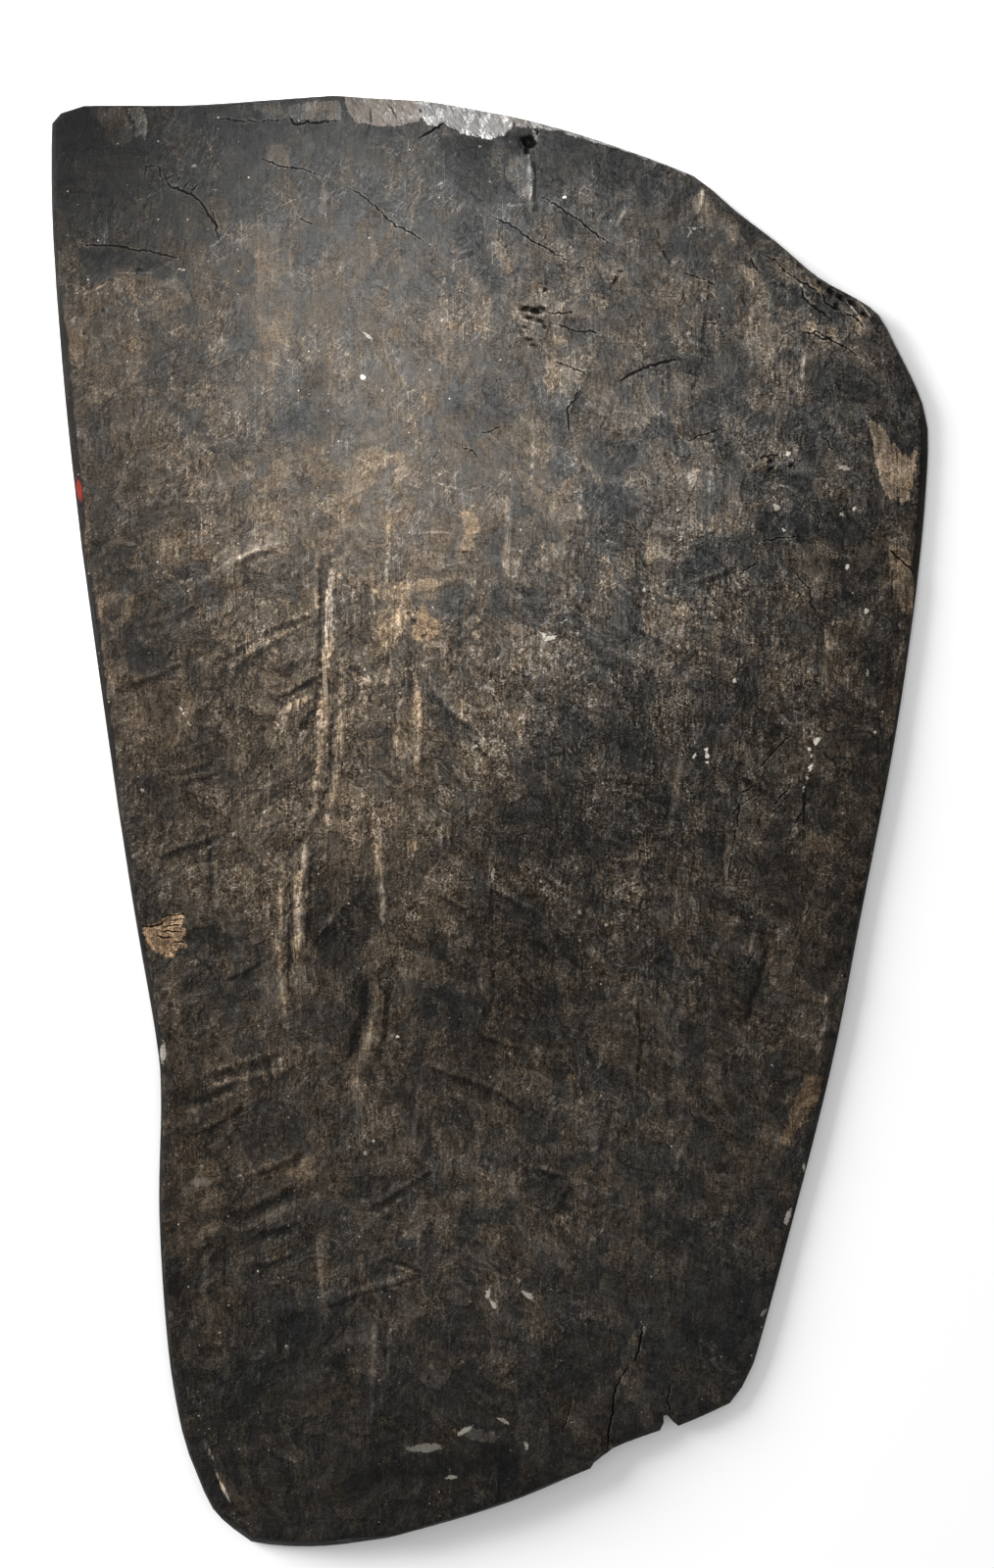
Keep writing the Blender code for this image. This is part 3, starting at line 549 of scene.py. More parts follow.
DARK_PATCHES = islands_of(
    (0.5, 0.18, 60, 176, 148, 186, 204, 206, 216, 228, 226, 250, 150, 256, 70, 250), (0.3, 0.85, 452, 142,
    500, 146, 506, 152, 498, 160, 470, 158, 450, 154), (0.3, 0.5, 450, 154, 498, 150, 500, 172, 508, 200,
    502, 216, 480, 213, 464, 190, 454, 174), (0.3, 0.9, 477, 172, 492, 174, 496, 190, 497, 212, 484, 208,
    476, 188), (0.2, 0.85, 510, 141, 530, 137, 534, 150, 532, 162, 520, 158), (0.4, 0.38, 548, 138, 600,
    150, 602, 172, 585, 182, 572, 196, 552, 198), (0.4, 0.38, 602, 156, 640, 164, 648, 180, 640, 196, 618,
    200, 606, 188), (0.3, 0.4, 655, 174, 700, 186, 702, 206, 694, 226, 680, 236, 660, 228, 648, 206), (0.8,
    0.22, 690, 224, 706, 214, 730, 222, 742, 250, 740, 282, 722, 290, 702, 282, 686, 252), (0.1, 0.45, 740,
    206, 762, 226, 792, 250, 800, 264, 778, 262, 760, 254, 740, 238), (0.1, 0.4, 788, 256, 812, 268, 838,
    284, 870, 304, 892, 326, 896, 348, 878, 330, 852, 310, 828, 296, 806, 278), (0.5, 0.42, 822, 368, 852,
    364, 880, 376, 912, 400, 930, 412, 920, 470, 902, 440, 880, 420, 850, 412, 824, 400), (0.3, 0.25, 704,
    400, 742, 402, 772, 420, 774, 440, 720, 438, 702, 446), (0.7, 0.4, 602, 494, 640, 498, 656, 512, 640,
    532, 612, 524), (0.4, 0.3, 596, 440, 630, 446, 650, 470, 640, 492, 606, 486, 590, 466), (0.3, 0.5, 500,
    790, 560, 802, 640, 788, 684, 802, 690, 834, 650, 862, 600, 874, 548, 884, 506, 872), (0.7, 0.48, 125,
    642, 150, 630, 176, 648, 184, 664, 166, 684, 150, 692, 132, 684), (0.6, 0.4, 150, 588, 172, 574, 204,
    590, 262, 608, 240, 626, 200, 624, 166, 632), (0.3, 0.45, 112, 786, 150, 790, 190, 800, 200, 832, 160,
    840, 124, 834), (0.4, 0.48, 384, 734, 398, 742, 408, 762, 428, 788, 430, 812, 408, 800, 386, 800, 378,
    772), (0.9, 0.45, 434, 692, 452, 706, 472, 734, 496, 754, 480, 762, 452, 746, 436, 724), (0.3, 0.6, 412,
    650, 426, 656, 424, 676, 414, 676), (0.8, 0.34, 450, 612, 462, 598, 476, 606, 470, 640, 474, 672, 456,
    660), (0.6, 0.4, 500, 602, 546, 598, 572, 612, 562, 640, 530, 642, 506, 626), (0.6, 0.5, 602, 612, 640,
    604, 654, 622, 650, 662, 622, 674, 604, 660), (0.7, 0.3, 692, 550, 742, 552, 766, 556, 760, 582, 734,
    588, 702, 594), (0.5, 0.5, 830, 510, 862, 504, 904, 518, 906, 546, 888, 562, 850, 560, 830, 548), (0.3,
    0.45, 806, 572, 850, 566, 892, 572, 896, 602, 878, 622, 840, 626, 824, 614), (0.4, 0.3, 704, 700, 762,
    692, 804, 712, 820, 742, 800, 762, 760, 742, 714, 746), (0.4, 0.35, 848, 652, 890, 648, 916, 660, 912,
    676, 870, 678, 846, 668), (0.1, 0.55, 912, 600, 930, 590, 924, 650, 908, 740, 896, 760, 902, 690), (0.6,
    0.32, 200, 920, 252, 930, 286, 958, 290, 1000, 276, 1030, 228, 1044, 188, 1028, 178, 976), (0.3, 0.7,
    322, 888, 346, 884, 380, 896, 384, 930, 378, 956, 352, 982, 328, 986, 318, 960), (0.2, 0.62, 356, 1000,
    378, 984, 384, 1002, 374, 1050, 362, 1082, 348, 1090, 348, 1050), (0.4, 0.7, 426, 948, 440, 932, 454,
    950, 456, 976, 448, 984, 436, 968), (0.9, 0.52, 418, 1000, 452, 1004, 490, 1018, 502, 1040, 480, 1052,
    440, 1046, 426, 1032), (0.7, 0.22, 256, 1120, 300, 1110, 336, 1120, 340, 1160, 310, 1172, 280, 1182,
    262, 1166), (1, 0.45, 410, 1134, 432, 1134, 442, 1150, 424, 1162, 406, 1156), (0.4, 0.45, 500, 998, 532,
    1004, 592, 1018, 572, 1032, 530, 1032, 504, 1020), (0.2, 0.7, 636, 938, 650, 934, 654, 952, 646, 984,
    634, 986), (0.8, 0.6, 668, 956, 682, 954, 690, 972, 682, 988, 668, 982), (0.8, 0.42, 504, 906, 542, 914,
    562, 926, 552, 948, 520, 942, 502, 930), (0.3, 0.6, 774, 962, 786, 948, 782, 984, 770, 1020, 758, 1052,
    748, 1046, 754, 1008), (0.2, 0.45, 826, 906, 862, 908, 866, 926, 842, 932, 824, 922), (0.4, 0.35, 600,
    1304, 640, 1296, 692, 1306, 690, 1330, 660, 1346, 620, 1332), (0.3, 0.4, 560, 1174, 582, 1180, 578,
    1210, 566, 1238, 548, 1238, 556, 1206), (0.5, 0.55, 492, 1448, 520, 1454, 532, 1480, 526, 1512, 504,
    1532, 488, 1510), (0.5, 0.45, 398, 1482, 450, 1480, 500, 1488, 520, 1500, 470, 1502, 400, 1504), (0,
    0.5, 168, 1270, 190, 1278, 198, 1310, 190, 1342, 172, 1332), (0.5, 0.4, 352, 1196, 400, 1190, 432, 1200,
    410, 1216, 380, 1232, 354, 1236, 346, 1214), (0.4, 0.38, 400, 1260, 426, 1266, 430, 1294, 408, 1286,
    392, 1276), (0.5, 0.45, 304, 378, 332, 372, 340, 420, 338, 452, 316, 448, 304, 420), (0.6, 0.35, 262,
    410, 300, 404, 330, 430, 318, 450, 280, 446, 258, 430), (0.5, 0.35, 470, 398, 500, 392, 520, 412, 510,
    446, 480, 448, 462, 424), (0.5, 0.3, 150, 344, 196, 350, 240, 372, 236, 398, 196, 402, 150, 386), (0.4,
    0.3, 240, 580, 300, 566, 326, 560, 324, 600, 290, 612, 250, 604), (0.4, 0.45, 560, 700, 600, 690, 650,
    700, 660, 740, 700, 780, 660, 790, 600, 770, 566, 740), (0.2, 0.45, 740, 990, 752, 1010, 750, 1060, 738,
    1090, 728, 1050, 732, 1010), (0.2, 0.4, 776, 880, 800, 870, 812, 900, 800, 940, 786, 930, 774, 905),
    (0.4, 0.35, 560, 1340, 604, 1350, 620, 1390, 600, 1430, 566, 1420, 548, 1380), (0.3, 0.3, 250, 1340,
    300, 1330, 350, 1350, 360, 1400, 310, 1440, 256, 1430, 238, 1384),
)
print("smooth:", len(SMOOTH_ISLANDS), "and darker:", len(DARK_PATCHES))

# %% Paler patches
PALE_PATCHES = islands_of(
    (0.6, 0.55, 98, 114, 128, 110, 138, 140, 126, 150, 110, 146), (0.3, 0.45, 262, 118, 290, 112, 296, 124,
    268, 126), (0.25, 0.35, 252, 104, 284, 102, 292, 110, 262, 113), (0.35, 0.4, 240, 228, 290, 231, 286,
    262, 278, 292, 262, 290, 262, 262, 242, 250), (0.55, 0.38, 102, 290, 130, 283, 158, 285, 190, 290, 200,
    310, 170, 322, 130, 332, 104, 330), (0.3, 0.45, 326, 196, 334, 196, 335, 222, 327, 224), (0.6, 0.38,
    270, 152, 292, 150, 296, 172, 276, 176), (0.35, 0.25, 600, 225, 650, 232, 652, 270, 630, 286, 600, 280),
    (0.4, 0.45, 740, 226, 752, 232, 752, 252, 740, 250), (0.55, 0.5, 757, 270, 768, 274, 775, 288, 762,
    293), (0.35, 0.28, 450, 300, 482, 290, 522, 300, 532, 320, 510, 342, 470, 342, 448, 330), (0.3, 0.32,
    762, 336, 800, 330, 802, 352, 790, 368, 768, 371, 757, 355), (0.2, 0.9, 813, 300, 822, 301, 830, 311,
    824, 314), (0.5, 0.75, 820, 283, 832, 288, 843, 301, 836, 304, 824, 294), (0.4, 0.7, 852, 311, 868, 314,
    872, 322, 858, 322), (0.4, 0.6, 814, 331, 830, 331, 833, 341, 816, 342), (0.4, 0.6, 842, 331, 852, 332,
    853, 345, 843, 345), (0.6, 0.45, 872, 322, 886, 326, 892, 340, 880, 344, 871, 334), (0.5, 0.42, 548,
    556, 560, 552, 571, 568, 556, 584, 546, 580), (0.2, 0.22, 600, 396, 640, 390, 692, 374, 702, 400, 680,
    430, 640, 440, 594, 436), (0.25, 0.6, 398, 592, 412, 597, 436, 592, 450, 596, 446, 604, 420, 606, 400,
    606), (0.5, 0.55, 470, 522, 484, 526, 490, 540, 482, 556, 473, 560, 474, 545), (0.3, 0.42, 522, 634,
    532, 640, 536, 680, 520, 692), (0.3, 0.42, 398, 742, 412, 734, 424, 696, 431, 720, 429, 800, 412, 802,
    404, 772), (0.6, 0.35, 176, 1150, 200, 1180, 226, 1196, 226, 1252, 200, 1264, 176, 1258, 170, 1200),
    (0.35, 0.35, 484, 1196, 520, 1190, 532, 1214, 506, 1226, 490, 1242), (1, 0.22, 436, 1362, 452, 1366,
    452, 1386, 440, 1395, 431, 1385), (0.4, 0.42, 104, 658, 124, 655, 130, 670, 132, 684, 118, 698, 104,
    690), (0.4, 0.42, 102, 609, 130, 603, 146, 612, 145, 626, 120, 628, 102, 630), (0.25, 0.45, 666, 902,
    690, 900, 691, 914, 668, 915), (0.4, 0.22, 560, 432, 590, 440, 584, 480, 590, 530, 560, 540, 540, 500),
    (0.2, 0.3, 756, 500, 772, 512, 772, 532, 766, 546, 752, 546), (0.3, 0.3, 828, 560, 840, 560, 850, 580,
    836, 590, 812, 586, 810, 574), (0.3, 0.25, 600, 700, 616, 704, 612, 740, 598, 744), (0.3, 0.35, 516,
    726, 532, 720, 536, 760, 520, 764), (0.25, 0.3, 734, 420, 752, 424, 760, 440, 740, 444, 728, 436),
    (0.45, 0.25, 240, 470, 270, 460, 300, 480, 296, 530, 262, 540, 240, 510), (0.5, 0.3, 140, 700, 190, 690,
    200, 720, 190, 760, 150, 770, 130, 740), (0.45, 0.22, 360, 460, 396, 456, 410, 500, 396, 540, 352, 548,
    342, 500), (0.4, 0.35, 400, 460, 414, 462, 416, 486, 404, 496),
)
print("paler:", len(PALE_PATCHES))

# %% Drops and specks of pale dirt, and one painted highlight
# The spot at 205, 1206 on the left edge is the dome of a knot: its pale grey is a painted highlight, not
# dirt.
FLECKS = spots_of(
    (371, 388, 3.4, 2.8, 10, 0.8, 1), (376, 346, 8, 1.4, -45, 0.5, 0.8), (390, 360, 1.6, 1.4, 0, 0.5, 0.8),
    (391, 401, 1.5, 1.5, 0, 0.5, 0.8), (452, 293, 4.5, 1, 60, 0.4, 0.7), (575, 205, 1.6, 1.4, 0, 1, 1),
    (553, 648, 5, 1.6, -35, 0.6, 0.9), (561, 652, 5, 2, 15, 0.7, 0.9), (575, 635, 5, 1.4, 25, 0.6, 0.8),
    (188, 728, 7, 1.2, -60, 0.7, 0.9), (195, 740, 4, 1.2, -50, 0.6, 0.8), (803, 465, 3.2, 2.2, 50, 0.8, 1),
    (862, 479, 9, 2.2, -4, 0.5, 0.9), (865, 460, 6, 4, 20, 0.3, 0.25), (690, 522, 2, 1.6, 0, 0.7, 0.9),
    (791, 519, 4.5, 3, -50, 0.6, 0.8), (798, 542, 2, 2, 0, 0.8, 0.9), (857, 526, 3, 2, 60, 0.8, 0.9), (870,
    520, 2, 1.6, 0, 0.8, 0.9), (656, 603, 2.4, 2.4, 0, 0.5, 0.9), (863, 579, 2.6, 2.2, 60, 0.8, 1), (883,
    624, 3.5, 2.4, 70, 0.8, 1), (884, 687, 4, 2.2, 80, 0.6, 0.8), (748, 695, 3.2, 2, 70, 0.7, 0.9), (892,
    747, 3, 2, 60, 0.7, 0.9), (832, 757, 5, 2.6, 60, 0.9, 1), (824, 764, 3, 2, 0, 0.8, 1), (827, 771, 3,
    1.4, 80, 0.7, 0.9), (826, 783, 4.5, 2, 65, 0.9, 1), (822, 794, 3, 1.6, 70, 0.7, 0.9), (819, 805, 4, 1.6,
    75, 0.7, 0.9), (707, 772, 5.5, 2.2, 65, 0.7, 1), (720, 765, 3, 1.8, 80, 0.8, 1), (720, 772, 2.4, 2.2, 0,
    0.9, 1), (720, 778, 1.8, 1.6, 0, 0.8, 1), (503, 893, 8, 1.8, 85, 0.5, 0.8), (618, 943, 2.4, 2, 0, 0.6,
    0.8), (591, 930, 2, 2, 0, 0.5, 0.8), (591, 959, 2, 2, 0, 0.5, 0.8), (710, 236, 8, 1.4, 5, 0.6, 0.8),
    (703, 241, 4, 1.4, 70, 0.6, 0.8), (268, 162, 3, 1.8, 0, 0.4, 0.45), (199, 172, 2, 2, 0, 0.3, 0.8), (220,
    196, 4, 1.6, 0, 0.4, 0.7), (358, 178, 3, 5, 0, 0.35, 0.45), (174, 331, 4, 2.2, -20, 0.3, 0.4), (186,
    277, 6, 1.8, -8, 0.5, 0.8), (241, 887, 2, 2, 0, 0.5, 0.8), (214, 865, 5, 2, 30, 0.4, 0.7), (239, 851, 2,
    2, 0, 0.5, 0.8), (146, 806, 2, 2, 0, 0.5, 0.8), (498, 1317, 6, 2.6, 70, 0.6, 0.9), (503, 1327, 5, 2.4,
    -60, 0.6, 0.9), (537, 1317, 7, 2.6, -35, 0.6, 0.9), (434, 1473, 19, 4.6, 4, 0.15, 0.95), (474, 1456, 9,
    3, 30, 0.55, 0.85), (514, 1446, 6, 2.4, -30, 0.5, 0.8), (537, 1472, 2.4, 6, 20, 0.5, 0.85), (461, 1503,
    8, 2, 5, 0.5, 0.8), (225, 1358, 3, 1.6, 20, 0.5, 0.8), (293, 1371, 1.8, 1.8, 0, 0.5, 0.8), (204, 1371,
    2.4, 1.6, 30, 0.4, 0.8), (264, 1295, 1.6, 1.6, 0, 0.8, 0.9), (407, 1056, 2.2, 2.2, 0, 0.9, 1), (382,
    1162, 2.4, 1.8, 0, 0.7, 0.9), (373, 1174, 2, 3, 20, 0.6, 0.8), (205, 1206, 12, 4.5, 0, 0.2, 0.75), (606,
    1343, 5, 1.6, -20, 0.2, 0.5), (536, 1080, 3, 5, 30, 0.2, 0.6), (442, 621, 1.6, 1.6, 0, 0.7, 0.9), (373,
    684, 1.4, 1.4, 0, 0.6, 0.8), (485, 762, 4, 1.2, 30, 0.6, 0.8), (454, 809, 6, 1.2, -28, 0.5, 0.8), (451,
    820, 6, 1.2, -38, 0.5, 0.8), (456, 829, 9, 1.2, -32, 0.5, 0.8), (478, 806, 20, 1, -6, 0.35, 0.7), (440,
    545, 22, 1.2, -3, 0.35, 0.6), (464, 573, 22, 1.4, 14, 0.35, 0.6), (167, 1073, 11, 3.4, 88, 0.45, 0.9),
    (803, 1242, 2.6, 9, -20, 0.6, 0.9), (820, 1191, 2, 4, 0, 0.6, 0.9), (779, 1338, 4, 2, 50, 0.4, 0.8),
    (546, 143, 2, 6, 20, 0.4, 0.8), (536, 214, 10, 2, -2, 0.3, 0.6), (75, 330, 5, 1.6, 70, 0.4, 0.7),
)
print("specks:", len(FLECKS))

# %% [markdown]
# The relief and the finish both need to know how deep inside an area a point lies. For an ellipse the
# depth is a close guess, which is quicker than the true one.

# %% Depth inside an area


def closed_loop(points):
    """The loop of an island in metres, with its first point again at its end."""
    loop = placed(points)
    return np.vstack([loop, loop[:1]])


def inside(points, loop):
    """Which points lie inside the closed loop, by counting crossings of a line that runs along +X."""
    x, y = points[:, :1], points[:, 1:]
    ax, ay, bx, by = loop[:-1, 0], loop[:-1, 1], loop[1:, 0], loop[1:, 1]
    spans = (ay > y) != (by > y)
    rise = np.where(by == ay, 1.0, by - ay)
    return (spans & (x < ax + (y - ay) * (bx - ax) / rise)).sum(axis=1) % 2 == 1


def depth_in_island(points, island):
    """How far each point lies inside the island, negative outside."""
    loop = closed_loop(island.points)
    distance = follow(points, loop)[0]
    return np.where(inside(points, loop), distance, -distance)


def depth_in_spot(points, spot):
    """How far each point lies inside the spot's ellipse, negative outside, measured across it."""
    lean = math.radians(spot.lean)
    dx, dy = points[:, 0] - at(spot.u, spot.v)[0], points[:, 1] - at(spot.u, spot.v)[1]
    along = (dx * math.cos(lean) + dy * math.sin(lean)) / (spot.long * PIXEL)
    across = (dy * math.cos(lean) - dx * math.sin(lean)) / (spot.short * PIXEL)
    return (1 - np.hypot(along, across)) * min(spot.long, spot.short) * PIXEL


print("loops:", len(BARE_ISLANDS + SMOOTH_ISLANDS + DARK_PATCHES + PALE_PATCHES))

# %% [markdown]
# ## Cutting the mesh finer, and finest where the marks are
#
# One even mesh that is fine enough for a crack would need millions of triangles. So the face is cut into
# an even middling mesh first, and then only the faces near a mark are cut again, and those near the
# finest marks once more. The subdivide operator does each round on the faces that are selected in code.

# %% Subdivide by place
RIM_REACH = 0.009
FACE_CUTS = 4
RIM_CUTS = 2
BACK_CUTS = 2
MARK_REACH = 3.7 * MM
BORDER_REACH = 2 * MM
FINE_REACH = 1.5 * MM
CRISP_FROM = 0.5


def pick(piece, kind, wanted):
    """Selects only the wanted points or faces, and goes into edit mode."""
    only(piece)
    bpy.context.tool_settings.mesh_select_mode = (kind == "vertices", False, kind == "polygons")
    for name in ("vertices", "edges", "polygons"):
        parts = getattr(piece.data, name)
        parts.foreach_set("select", wanted if name == kind else np.zeros(len(parts), bool))
    bpy.ops.object.mode_set(mode="EDIT")


def cut_faces(piece, wanted, cuts):
    """Subdivides the wanted faces and leaves only triangles."""
    pick(piece, "polygons", wanted)
    bpy.ops.mesh.subdivide(number_cuts=cuts, ngon=False)
    bpy.ops.mesh.select_all(action="SELECT")
    bpy.ops.mesh.quads_convert_to_tris(quad_method="SHORTEST_DIAGONAL", ngon_method="BEAUTY")
    bpy.ops.object.mode_set(mode="OBJECT")
    print("cut", int(wanted.sum()), "faces, now", len(piece.data.polygons))


def near(points, lines, reach):
    """Which points lie within reach of any of the lines."""
    found = np.zeros(len(points), bool)
    for line in lines:
        low, high = line.min(0) - reach, line.max(0) + reach
        close = np.flatnonzero(((points > low) & (points < high)).all(1) & ~found)
        if len(close):
            found[close] = follow(points[close], line)[0] < reach
    return found


def near_border(points, depths, reach):
    """Which points lie within reach of the border of any island or spot."""
    found = np.zeros(len(points), bool)
    for measure, area in depths:
        found |= np.abs(measure(points, area)) < reach
    return found


in_rim = (sides_of(board) == FACE) & (edge_distance(centres_of(board)) < RIM_REACH)
board.data.attributes.new("rim", "BOOLEAN", "FACE").data.foreach_set("value", in_rim)
cut_faces(board, (sides_of(board) == FACE) & ~in_rim, FACE_CUTS)
in_rim = read(board.data.attributes["rim"].data, "value", bool)
cut_faces(board, in_rim | (sides_of(board) == WALL), RIM_CUTS)
cut_faces(board, sides_of(board) == BACK, BACK_CUTS)
board.data.attributes.remove(board.data.attributes["rim"])

# %% [markdown]
# The solid's facets are about 27 mm across, and cutting them finer leaves them flat. The smoothing
# operator eases every point of the worked face towards its neighbours until the bow runs round. The
# narrow rim is left as it is, because smoothing would pull the board's edge in.

# %% Ease the facets out of the bow
EASED_FROM = 0.011
EASING_ROUNDS = 30


def ease(piece, wanted, rounds):
    """Smooths the wanted points of the piece."""
    pick(piece, "vertices", wanted)
    bpy.ops.mesh.vertices_smooth(factor=0.5, repeat=rounds, xaxis=False, yaxis=False, zaxis=True)
    bpy.ops.object.mode_set(mode="OBJECT")


def on_side(piece, side):
    """Which points belong to a face of that side."""
    found = np.zeros(len(piece.data.vertices), bool)
    corners = read(piece.data.polygons, "vertices", np.int32, 3)
    found[corners[sides_of(piece) == side]] = True
    return found


places = points_of(board)
from_edge = edge_distance(places[:, :2])
ease(board, on_side(board, FACE) & (from_edge > EASED_FROM), EASING_ROUNDS)
ease(board, on_side(board, BACK) & (from_edge > EASED_FROM), EASING_ROUNDS)
print("eased by up to", round(float(abs(points_of(board) - places).max()) / MM, 2), "mm")

# %% [markdown]
# ## Holes and punctures
#
# Something sharp has gone into the board in a few places: two slots beside each other, a pair of
# punctures, a knot that fell out, and the deep pit at the broken top edge. Each is an ellipse with a
# depth in millimetres.

# %% Holes of the photograph
Pit = namedtuple("Pit", "u v long short lean deep")
PITS = [Pit(*row) for row in (
    (540, 148, 7.6, 6.8, 0, 5), (534, 145, 5, 2.6, 20, 2.5), (537, 157, 3.2, 4.4, 0, 3), (857, 305, 6, 3.2,
    -30, 3), (846, 299, 4.4, 2.6, -35, 2.6), (867, 311, 5, 2.8, -32, 2.6), (835, 291, 3.4, 2.4, -40, 2.2),
    (852, 314, 2.8, 4, 10, 2.2), (880, 322, 4, 2, -40, 2), (536, 318, 6, 2.8, 6, 4), (546, 320, 6.5, 3.4,
    -10, 5), (553, 318, 4.5, 2.4, -30, 3.5), (540, 327, 5.5, 1.7, -8, 3.5), (551, 330, 5, 1.8, -24, 3.5),
    (536, 337, 4, 1.2, -20, 2), (540, 349, 6, 1.8, -6, 2.5), (544, 355, 5, 1.5, -14, 2), (555, 336, 3, 1.4,
    -40, 2), (556, 299, 2.6, 2.2, 0, 3), (557, 292, 1.6, 2.4, 0, 1.5), (633, 280, 4, 1.4, 10, 2), (627, 289,
    5.5, 1.8, 60, 2.2), (784, 472, 3.2, 2, 10, 2.5), (785, 480, 4.5, 1.6, 35, 2.5), (806, 476, 3.2, 2, 50,
    2.5), (726, 452, 2.2, 1.6, 0, 1.5), (422, 634, 1.8, 2.8, 70, 0.8), (432, 650, 2.4, 1.2, 0, 0.8), (417,
    627, 2.6, 1.4, 20, 0.8), (474, 565, 3.5, 1.4, 10, 1), (143, 277, 3, 1.2, 0, 0.8), (106, 318, 1.8, 2.6,
    0, 1), (87, 340, 1.6, 2.4, 0, 0.8),
)]
print("holes:", len(PITS))

# %% Subdivide near the marks
areas = [(depth_in_island, island) for island in BARE_ISLANDS if island.strength > CRISP_FROM]
areas += [(depth_in_spot, spot) for spot in BARE_SPOTS if spot.strength > CRISP_FROM]
specks = [(depth_in_spot, spot) for spot in FLECKS + PITS]
flat = centres_of(board)
worked = sides_of(board) == FACE
marked = near(flat, crack_lines + stroke_lines, MARK_REACH)
marked |= near_border(flat, areas, BORDER_REACH) | near_border(flat, specks, MARK_REACH)
cut_faces(board, worked & marked, 1)
flat = centres_of(board)
worked = sides_of(board) == FACE
fine = near(flat, crack_lines, FINE_REACH) | near_border(flat, specks, FINE_REACH)
cut_faces(board, worked & fine, 1)

# %% [markdown]
# ## Adze scoops
#
# An adze takes the wood off in short scoops, row beside row. On this face the rows climb from both long
# edges towards a middle line, so they meet in a low chevron. Every scoop is a shallow ellipse that is a
# little deeper at its far end, where the blade stopped. Where two scoops meet, the wood between them
# stands up as a ridge, and that is where the black has worn off first. The back has the same scoops,
# longer and running along the board.

# %% Scoops
Scoop = namedtuple("Scoop", "x y long wide lean deep")
SCOOP_LONG = 44 * MM
SCOOP_WIDE = 13 * MM
SCOOP_DEEP = 0.95 * MM
SCOOP_STOP = 0.6
SCOOP_OVERLAP = 0.70
MIDDLE_LINE = at(430, 0)[0]
LEFT_CLIMB = math.radians(24)
RIGHT_CLIMB = math.radians(-19)
LEAN_SPREAD = math.radians(9)
PLACE_SPREAD = 0.35
LONG_RANGE, WIDE_RANGE, DEEP_RANGE = (0.75, 1.25), (0.8, 1.3), (0.5, 1.2)
BACK_LONG, BACK_WIDE = 2 * SCOOP_LONG, 1.5 * SCOOP_WIDE
SMOOTH_ABOVE = (at(0, 520)[1], at(0, 250)[1])
UPPER_SHARE = 0.35
SCOOP_SEED = 7


def eased_share(value, low, high):
    """0 below low, 1 above high, and a smooth climb between."""
    t = np.clip((value - low) / (high - low), 0, 1)
    return t * t * (3 - 2 * t)


def scatter_scoops(luck, climb, long, wide, deep):
    """Scoops in rows over the board's whole box, each with its own size, place and lean."""
    scoops = []
    row_step, scoop_step = 2 * wide * SCOOP_OVERLAP, 2 * long * SCOOP_OVERLAP
    rows = math.ceil((board_high.y - board_low.y) / row_step)
    columns = math.ceil((board_high.x - board_low.x) / scoop_step)
    for row in range(-2, rows + 3):
        for column in range(-1, columns + 2):
            along = column + 0.5 * (row % 2) + luck.uniform(-PLACE_SPREAD, PLACE_SPREAD)
            x = board_low.x + along * scoop_step
            y = board_low.y + (row + luck.uniform(-PLACE_SPREAD, PLACE_SPREAD)) * row_step
            length = long * luck.uniform(*LONG_RANGE)
            lean = climb(x) + luck.uniform(-LEAN_SPREAD, LEAN_SPREAD)
            width = wide * luck.uniform(*WIDE_RANGE)
            scoops.append(Scoop(x, y, length, width, lean, deep * luck.uniform(*DEEP_RANGE)))
    return scoops


def scooped(points, scoops):
    """How low the scoops leave each point, as negative heights, with 0 for untouched wood."""
    height = np.zeros(len(points))
    for scoop in scoops:
        dx, dy = points[:, 0] - scoop.x, points[:, 1] - scoop.y
        close = np.flatnonzero((abs(dx) < scoop.long) & (abs(dy) < scoop.long))
        dx, dy = dx[close], dy[close]
        along = (dx * math.cos(scoop.lean) + dy * math.sin(scoop.lean)) / scoop.long
        across = (dy * math.cos(scoop.lean) - dx * math.sin(scoop.lean)) / scoop.wide
        bowl = np.clip(1 - along**2 - across**2, 0, None) * (1 + SCOOP_STOP * along)
        height[close] = np.minimum(height[close], -scoop.deep * bowl)
    return height


def face_climb(x):
    """The lean of the face's scoops on either side of the middle line."""
    return LEFT_CLIMB if x < MIDDLE_LINE else RIGHT_CLIMB


def back_climb(x):
    """The lean of the back's scoops, which run along the board."""
    return math.pi / 2


luck = random.Random(SCOOP_SEED)
places = points_of(board)
flat = places[:, :2]
on_face, on_back = on_side(board, FACE), on_side(board, BACK)
from_edge = edge_distance(flat)
hewing = 1 - (1 - UPPER_SHARE) * eased_share(flat[:, 1], *SMOOTH_ABOVE)
scoop_height = scooped(flat, scatter_scoops(luck, face_climb, SCOOP_LONG, SCOOP_WIDE, SCOOP_DEEP)) * hewing
back_height = scooped(flat, scatter_scoops(luck, back_climb, BACK_LONG, BACK_WIDE, SCOOP_DEEP))
print("scoops down to", round(scoop_height.min() / MM, 2), "mm")

# %% [markdown]
# ## Painting: one attribute for each kind of mark
#
# The finish has to know where each mark is, more sharply than the mesh is fine. So an attribute does not
# hold a mark's colour. It holds how far the point lies from the mark's middle line or border, in
# millimetres. The shader then draws the border where that distance passes a limit, and it stays crisp
# between the mesh's points, as a level line on a map does.

# %% Attributes of the marks
FAR_MM = 40.0
TRACE_REACH = 12 * MM
TAPER = 5.0
STROKE_SPREAD = 1.4


def store(name, *channels):
    """Keeps one number, or up to three as a vector, at every point of the board."""
    kind, field, size = ("FLOAT", "value", 1) if len(channels) == 1 else ("FLOAT_VECTOR", "vector", 3)
    values = np.zeros((len(channels[0]), size), np.float32)
    values[:, :len(channels)] = np.column_stack(channels)
    board.data.attributes.new(name, kind, "POINT").data.foreach_set(field, values.ravel())


